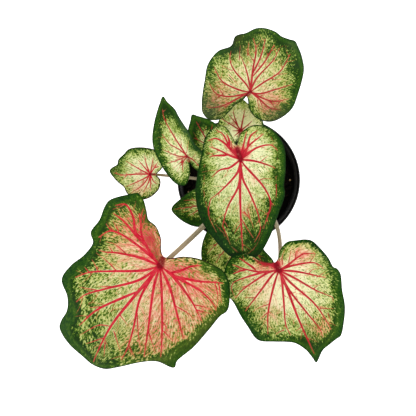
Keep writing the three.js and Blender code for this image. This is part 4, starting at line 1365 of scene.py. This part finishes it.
def pot_profile(look):
    """Radius and height of the pot's section, from the middle of its base up and back inside."""
    rim = POT_HIGH.x
    top = POT_HIGH.z
    base = rim * look.base_share
    foot = top - look.band
    shoulder = rim - look.flare - LEAN

    def wall(height):
        return base + (shoulder - base) * height / foot

    outside = [(0, RAISED), (base * .62, RAISED), (base * .66, 0), (base - 3 * MM, 0),
               (base - 1 * MM, .5 * MM), (wall(FLOOR), 2.4 * MM)]
    outside += [(wall(foot * share), foot * share) for share in (.08, .3, .55, .8)]
    outside += [(wall(foot - 1 * MM), foot - 1 * MM), (shoulder + .6 * MM, foot - .1 * MM),
                (rim - 1.8 * MM, foot), (rim - LEAN, foot + .7 * MM)]
    for share in (.3, .36, .42, .72, .78, .84):
        dip = GROOVE if share in (.36, .78) else 0
        outside.append((rim - LEAN * (1 - share) - dip, foot + look.band * share))
    outside += [(rim, top - 1.4 * MM), (rim - .1 * MM, top - .5 * MM), (rim - .5 * MM, top - .05 * MM),
                (rim - .9 * MM, top), (rim - 1.3 * MM, top - .1 * MM), (rim - look.wall, top - .6 * MM)]
    inside = [(rim - look.wall - .2 * MM, top - 2 * MM), (rim - LEAN - look.wall, foot + 3 * MM),
              (shoulder - look.wall + .6 * MM, foot + 1.4 * MM), (shoulder - look.wall, foot)]
    inside += [(wall(foot * share) - look.wall, foot * share) for share in (.8, .5, .2)]
    corner = wall(FLOOR) - look.wall
    return outside + inside + [(corner, FLOOR + 1 * MM), (corner - 1 * MM, FLOOR), (0, FLOOR)]


def spun(name, profile, steps):
    """A profile of (radius, height) spun once round the Z axis."""
    mesh = bpy.data.meshes.new(name)
    edges = [(i, i + 1) for i in range(len(profile) - 1)]
    mesh.from_pydata([(radius, 0, height) for radius, height in profile], edges, [])
    piece = bpy.data.objects.new(name, mesh)
    bpy.context.scene.collection.objects.link(piece)
    select_only(piece)
    bpy.ops.object.mode_set(mode="EDIT")
    bpy.ops.mesh.select_all(action="SELECT")
    bpy.ops.mesh.spin(steps=steps, angle=2 * math.pi, center=(0, 0, 0), axis=(0, 0, 1))
    bpy.ops.mesh.select_all(action="SELECT")
    bpy.ops.mesh.remove_doubles(threshold=MERGE)
    bpy.ops.mesh.normals_make_consistent(inside=False)
    bpy.ops.object.mode_set(mode="OBJECT")
    return piece


def drill_holes(pot, look):
    """Cuts the ring of drainage holes through the floor."""
    leave_edit_mode()
    for i in range(look.holes):
        angle = (i + .5) * 2 * math.pi / look.holes
        place = (look.hole_circle * math.cos(angle), look.hole_circle * math.sin(angle), 1 * MM)
        bpy.ops.mesh.primitive_cylinder_add(
            vertices=HOLE_SIDES, radius=look.hole_radius, depth=DRILL_LENGTH, location=place)
        drill = bpy.context.object
        cut = pot.modifiers.new("hole", "BOOLEAN")
        cut.object = drill
        cut.solver = "EXACT"
        select_only(pot)
        bpy.ops.object.modifier_apply(modifier=cut.name)
        bpy.data.objects.remove(drill)


class CALADIUM_OT_pot(bpy.types.Operator):
    """Makes the nursery pot, with a stepped rim band, a rolled lip and drainage holes"""

    bl_idname = "caladium.pot"
    bl_label = "Pot"

    def execute(self, context):
        look = context.scene.caladium_pot
        pot = spun("nursery_pot", pot_profile(look), POT_STEPS)
        drill_holes(pot, look)
        select_only(pot)
        bpy.ops.object.shade_smooth_by_angle(angle=CREASE_ANGLE)
        finish_piece(pot, plastic_finish(look), "pot_plastic", "pot")
        return {"FINISHED"}


# ------------------------------------------------------------------ soil

SWELL = 1.2 * MM                # height of the slow waves of the soil
SWELL_WAVE = (9 * MM, 11 * MM)  # their length along X and Y, a radian
SOIL_SIDES = 200
SOIL_RINGS = 62
SUNK_EDGE = 2.2 * MM            # how far the soil falls where it meets the pot
EDGE_SHARE = .93                # of its radius, where it begins to fall
WALL_GAP = 1.9 * MM             # from the outside of the pot's base to the soil inside
BARE_STRIP = 4 * MM             # the outermost soil, which bears no loose crumbs
TRIES = 30                      # for a free place, for each crumb
SEED = 11
# Proportions, number of shapes, least and greatest size in mm, and how deep they lie
GRAINS = dict(stretch=(1, .85, .75), kinds=4, sizes=(.6, 1.5), sunk=.3)
CHIPS = dict(stretch=(1.5, .6, .35), kinds=5, sizes=(1.2, 3.6), sunk=.25)


def soil_surface(x, y, relief):
    """Height of the soil over its mean level, all in metres."""
    swell = SWELL * math.sin(x / SWELL_WAVE[0]) * math.cos(y / SWELL_WAVE[1])
    at = Vector((x, y, 0))
    crumbs = noise.fractal(at / (7 * MM), 1.0, 2.1, 5)
    lumps = noise.noise(at / (2.6 * MM) + Vector((5, 1, 2)))
    return swell + relief * (.42 * crumbs + .22 * lumps)


def soil_mesh(look):
    """A disc of crumbly mix that fills the pot to its level."""
    top = SOIL_HIGH.z - SWELL
    low = SOIL_LOW.z
    radius = SOIL_HIGH.x
    leave_edit_mode()
    bpy.ops.mesh.primitive_cylinder_add(
        vertices=SOIL_SIDES, radius=radius, depth=top - low, location=(0, 0, (top + low) / 2))
    soil = bpy.context.object
    soil.name = soil.data.name = "potting_mix"
    bpy.ops.object.transform_apply(location=True, rotation=True, scale=True)
    bpy.ops.object.mode_set(mode="EDIT")
    bpy.ops.mesh.select_mode(type="FACE")
    bpy.ops.mesh.select_all(action="DESELECT")
    cage = bmesh.from_edit_mesh(soil.data)
    for face in cage.faces:
        face.select = face.normal.z > .9
    bmesh.update_edit_mesh(soil.data)
    for _ in range(SOIL_RINGS):
        bpy.ops.mesh.inset(thickness=radius / (SOIL_RINGS + 1.5))
    bpy.ops.mesh.poke()
    bpy.ops.object.mode_set(mode="OBJECT")
    base_share = bpy.context.scene.caladium_pot.base_share
    taper = (POT_HIGH.x * base_share - WALL_GAP) / radius
    for vertex in soil.data.vertices:
        x, y, z = vertex.co
        if z > top - .1 * MM:
            vertex.co.z = top + soil_surface(x, y, look.relief)
            edge = math.hypot(x, y) / radius
            vertex.co.z -= SUNK_EDGE * max(0, edge - EDGE_SHARE) / (1 - EDGE_SHARE)
        else:
            vertex.co.x *= taper
            vertex.co.y *= taper
    bpy.ops.object.shade_smooth()
    return soil, top


def pebble(rng, stretch):
    """One irregular crumb of about unit size."""
    leave_edit_mode()
    bpy.ops.mesh.primitive_ico_sphere_add(subdivisions=2, radius=1)
    crumb = bpy.context.object
    shift = Vector((rng.uniform(0, 50), rng.uniform(0, 50), 0))
    for vertex in crumb.data.vertices:
        lumps = .38 * noise.noise(vertex.co * 1.3 + shift), .14 * noise.noise(vertex.co * 3.1 + shift)
        vertex.co *= 1 + lumps[0] + lumps[1]
        vertex.co *= Vector(stretch)
    points = np.array([tuple(v.co) for v in crumb.data.vertices])
    faces = [tuple(p.vertices) for p in crumb.data.polygons]
    bpy.data.objects.remove(crumb)
    return points, faces


def scatter(name, crumbs, count, look, top, rng):
    """Copies of a few crumbs, turned every way, half sunk in the soil, as one piece."""
    kinds = [pebble(rng, crumbs["stretch"]) for _ in range(crumbs["kinds"])]
    points = []
    faces = []
    placed = []
    for _ in range(count * TRIES):
        if len(placed) == count:
            break
        away = (SOIL_HIGH.x - BARE_STRIP) * math.sqrt(rng.random())
        angle = rng.uniform(0, 2 * math.pi)
        x, y = away * math.cos(angle), away * math.sin(angle)
        size = rng.uniform(*crumbs["sizes"]) * MM
        if any(math.hypot(x - a, y - b) < (size + c) * .8 for a, b, c in placed):
            continue
        placed.append((x, y, size))
        shape, sides = rng.choice(kinds)
        turn = Matrix.Rotation(rng.uniform(0, 2 * math.pi), 3, "Z")
        turn = turn @ Matrix.Rotation(rng.gauss(0, .35), 3, "X") @ Matrix.Rotation(rng.gauss(0, .35), 3, "Y")
        z = top + soil_surface(x, y, look.relief) + size * (1 - crumbs["sunk"] * 2) * .4
        start = sum(len(p) for p in points)
        points.append(shape @ np.array(turn).T * size + np.array([x, y, z]))
        faces += [tuple(i + start for i in side) for side in sides]
    return new_piece(name, np.vstack(points), faces)


class CALADIUM_OT_soil(bpy.types.Operator):
    """Makes the potting mix with its crumbs, perlite grains and bits of bark"""

    bl_idname = "caladium.soil"
    bl_label = "Soil"

    def execute(self, context):
        look = context.scene.caladium_soil
        rng = random.Random(SEED)
        soil, top = soil_mesh(look)
        earth = crumb_finish("earth", tuple(look.earth), .55, 1.2 * MM)
        finish_piece(soil, earth, "potting_mix", "soil")
        perlite = scatter("perlite", GRAINS, look.perlite, look, top, rng)
        finish_piece(perlite, crumb_finish("perlite", tuple(look.grain), .25, .5 * MM), "potting_mix")
        bark = scatter("bark", CHIPS, look.bark, look, top, rng)
        finish_piece(bark, crumb_finish("bark", tuple(look.chip), .6, .8 * MM), "potting_mix")
        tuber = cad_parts["tuber"]
        tuber.data.materials.clear()
        tuber.data.materials.append(crumb_finish("corm", CORM, .5, 1.5 * MM))
        return {"FINISHED"}


# ------------------------------------------------------------------ stage

# name, place, size and share of the softbox's power of each lamp
LAMPS = [
    ("softbox_left", (-1.5, .9, 1.7), 1.3, 1.9),
    ("softbox_right", (1.6, -.3, 1.3), 1.3, 1.4),
    ("softbox_back", (.2, 1.7, 1.3), 1.1, .5),
    ("softbox_front", (-.2, -1.8, 1.5), 1.1, .6),
]
LIT = Vector((0, 0, .2))        # what the lamps point at
FLOOR_RADIUS = 9


def stage_floor(look):
    """A wide pale floor that gives back light."""
    leave_edit_mode()
    bpy.ops.mesh.primitive_circle_add(vertices=96, radius=FLOOR_RADIUS, fill_type="NGON")
    floor = bpy.context.object
    floor.name = "floor"
    finish = Finish("floor", Roughness=.9, Specular_IOR_Level=0, Emission_Strength=look.glow)
    finish.drive(Base_Color=tuple(look.floor), Emission_Color=(1.0, 1.0, 1.0))
    floor.data.materials.append(finish.material)


def softbox(name, place, size, power):
    leave_edit_mode()
    bpy.ops.object.light_add(type="AREA", location=place)
    lamp = bpy.context.object
    lamp.name = name
    lamp.data.shape = "DISK"
    lamp.data.size = size
    lamp.data.energy = power
    lamp.rotation_mode = "QUATERNION"
    lamp.rotation_quaternion = (LIT - Vector(place)).to_track_quat("-Z", "Y")


class CALADIUM_OT_stage(bpy.types.Operator):
    """Makes the pale floor, the soft lamps and the camera over the plant"""

    bl_idname = "caladium.stage"
    bl_label = "Stage"

    def execute(self, context):
        look = context.scene.caladium_stage
        stage_floor(look)
        for name, place, size, share in LAMPS:
            softbox(name, place, size, look.softbox * share)
        world = bpy.data.worlds.new("studio")
        context.scene.world = world
        world.use_nodes = True
        background = world.node_tree.nodes["Background"]
        background.inputs["Color"].default_value = (1, 1, 1, 1)
        background.inputs["Strength"].default_value = look.sky
        bpy.ops.object.camera_add(location=look.eye, rotation=(0, 0, 0))
        camera = bpy.context.object
        camera.data.lens = look.lens
        camera.data.sensor_width = 36
        camera.data.clip_end = 30
        context.scene.camera = camera
        context.scene.view_settings.view_transform = "Standard"
        return {"FINISHED"}


# ------------------------------------------------------------------ panel

class CALADIUM_PT_panel(bpy.types.Panel):
    bl_label = "Caladium"
    bl_space_type = "VIEW_3D"
    bl_region_type = "UI"
    bl_category = "Caladium"

    def draw(self, context):
        for operator, settings, _ in PARTS:
            box = self.layout.box()
            box.operator(operator.bl_idname)
            group = getattr(context.scene, settings)
            for name in group.bl_rna.properties.keys():
                if name not in ("rna_type", "name"):
                    box.prop(group, name)


# each operator, where the scene keeps its settings, and the group that they are
PARTS = [
    (CALADIUM_OT_stage, "caladium_stage", StageSettings),
    (CALADIUM_OT_pot, "caladium_pot", PotSettings),
    (CALADIUM_OT_soil, "caladium_soil", SoilSettings),
    (CALADIUM_OT_petioles, "caladium_petioles", PetioleSettings),
    (CALADIUM_OT_blades, "caladium_blades", BladeSettings),
]


def register():
    for operator, settings, group in PARTS:
        bpy.utils.register_class(group)
        setattr(bpy.types.Scene, settings, PointerProperty(type=group))
        bpy.utils.register_class(operator)
    bpy.utils.register_class(CALADIUM_PT_panel)


def unregister():
    bpy.utils.unregister_class(CALADIUM_PT_panel)
    for operator, settings, group in reversed(PARTS):
        bpy.utils.unregister_class(operator)
        delattr(bpy.types.Scene, settings)
        bpy.utils.unregister_class(group)


def main():
    register()
    bpy.ops.caladium.stage()
    bpy.ops.caladium.pot()
    bpy.ops.caladium.soil()
    bpy.ops.caladium.petioles()
    bpy.ops.caladium.blades()


if __name__ == "__main__":
    main()
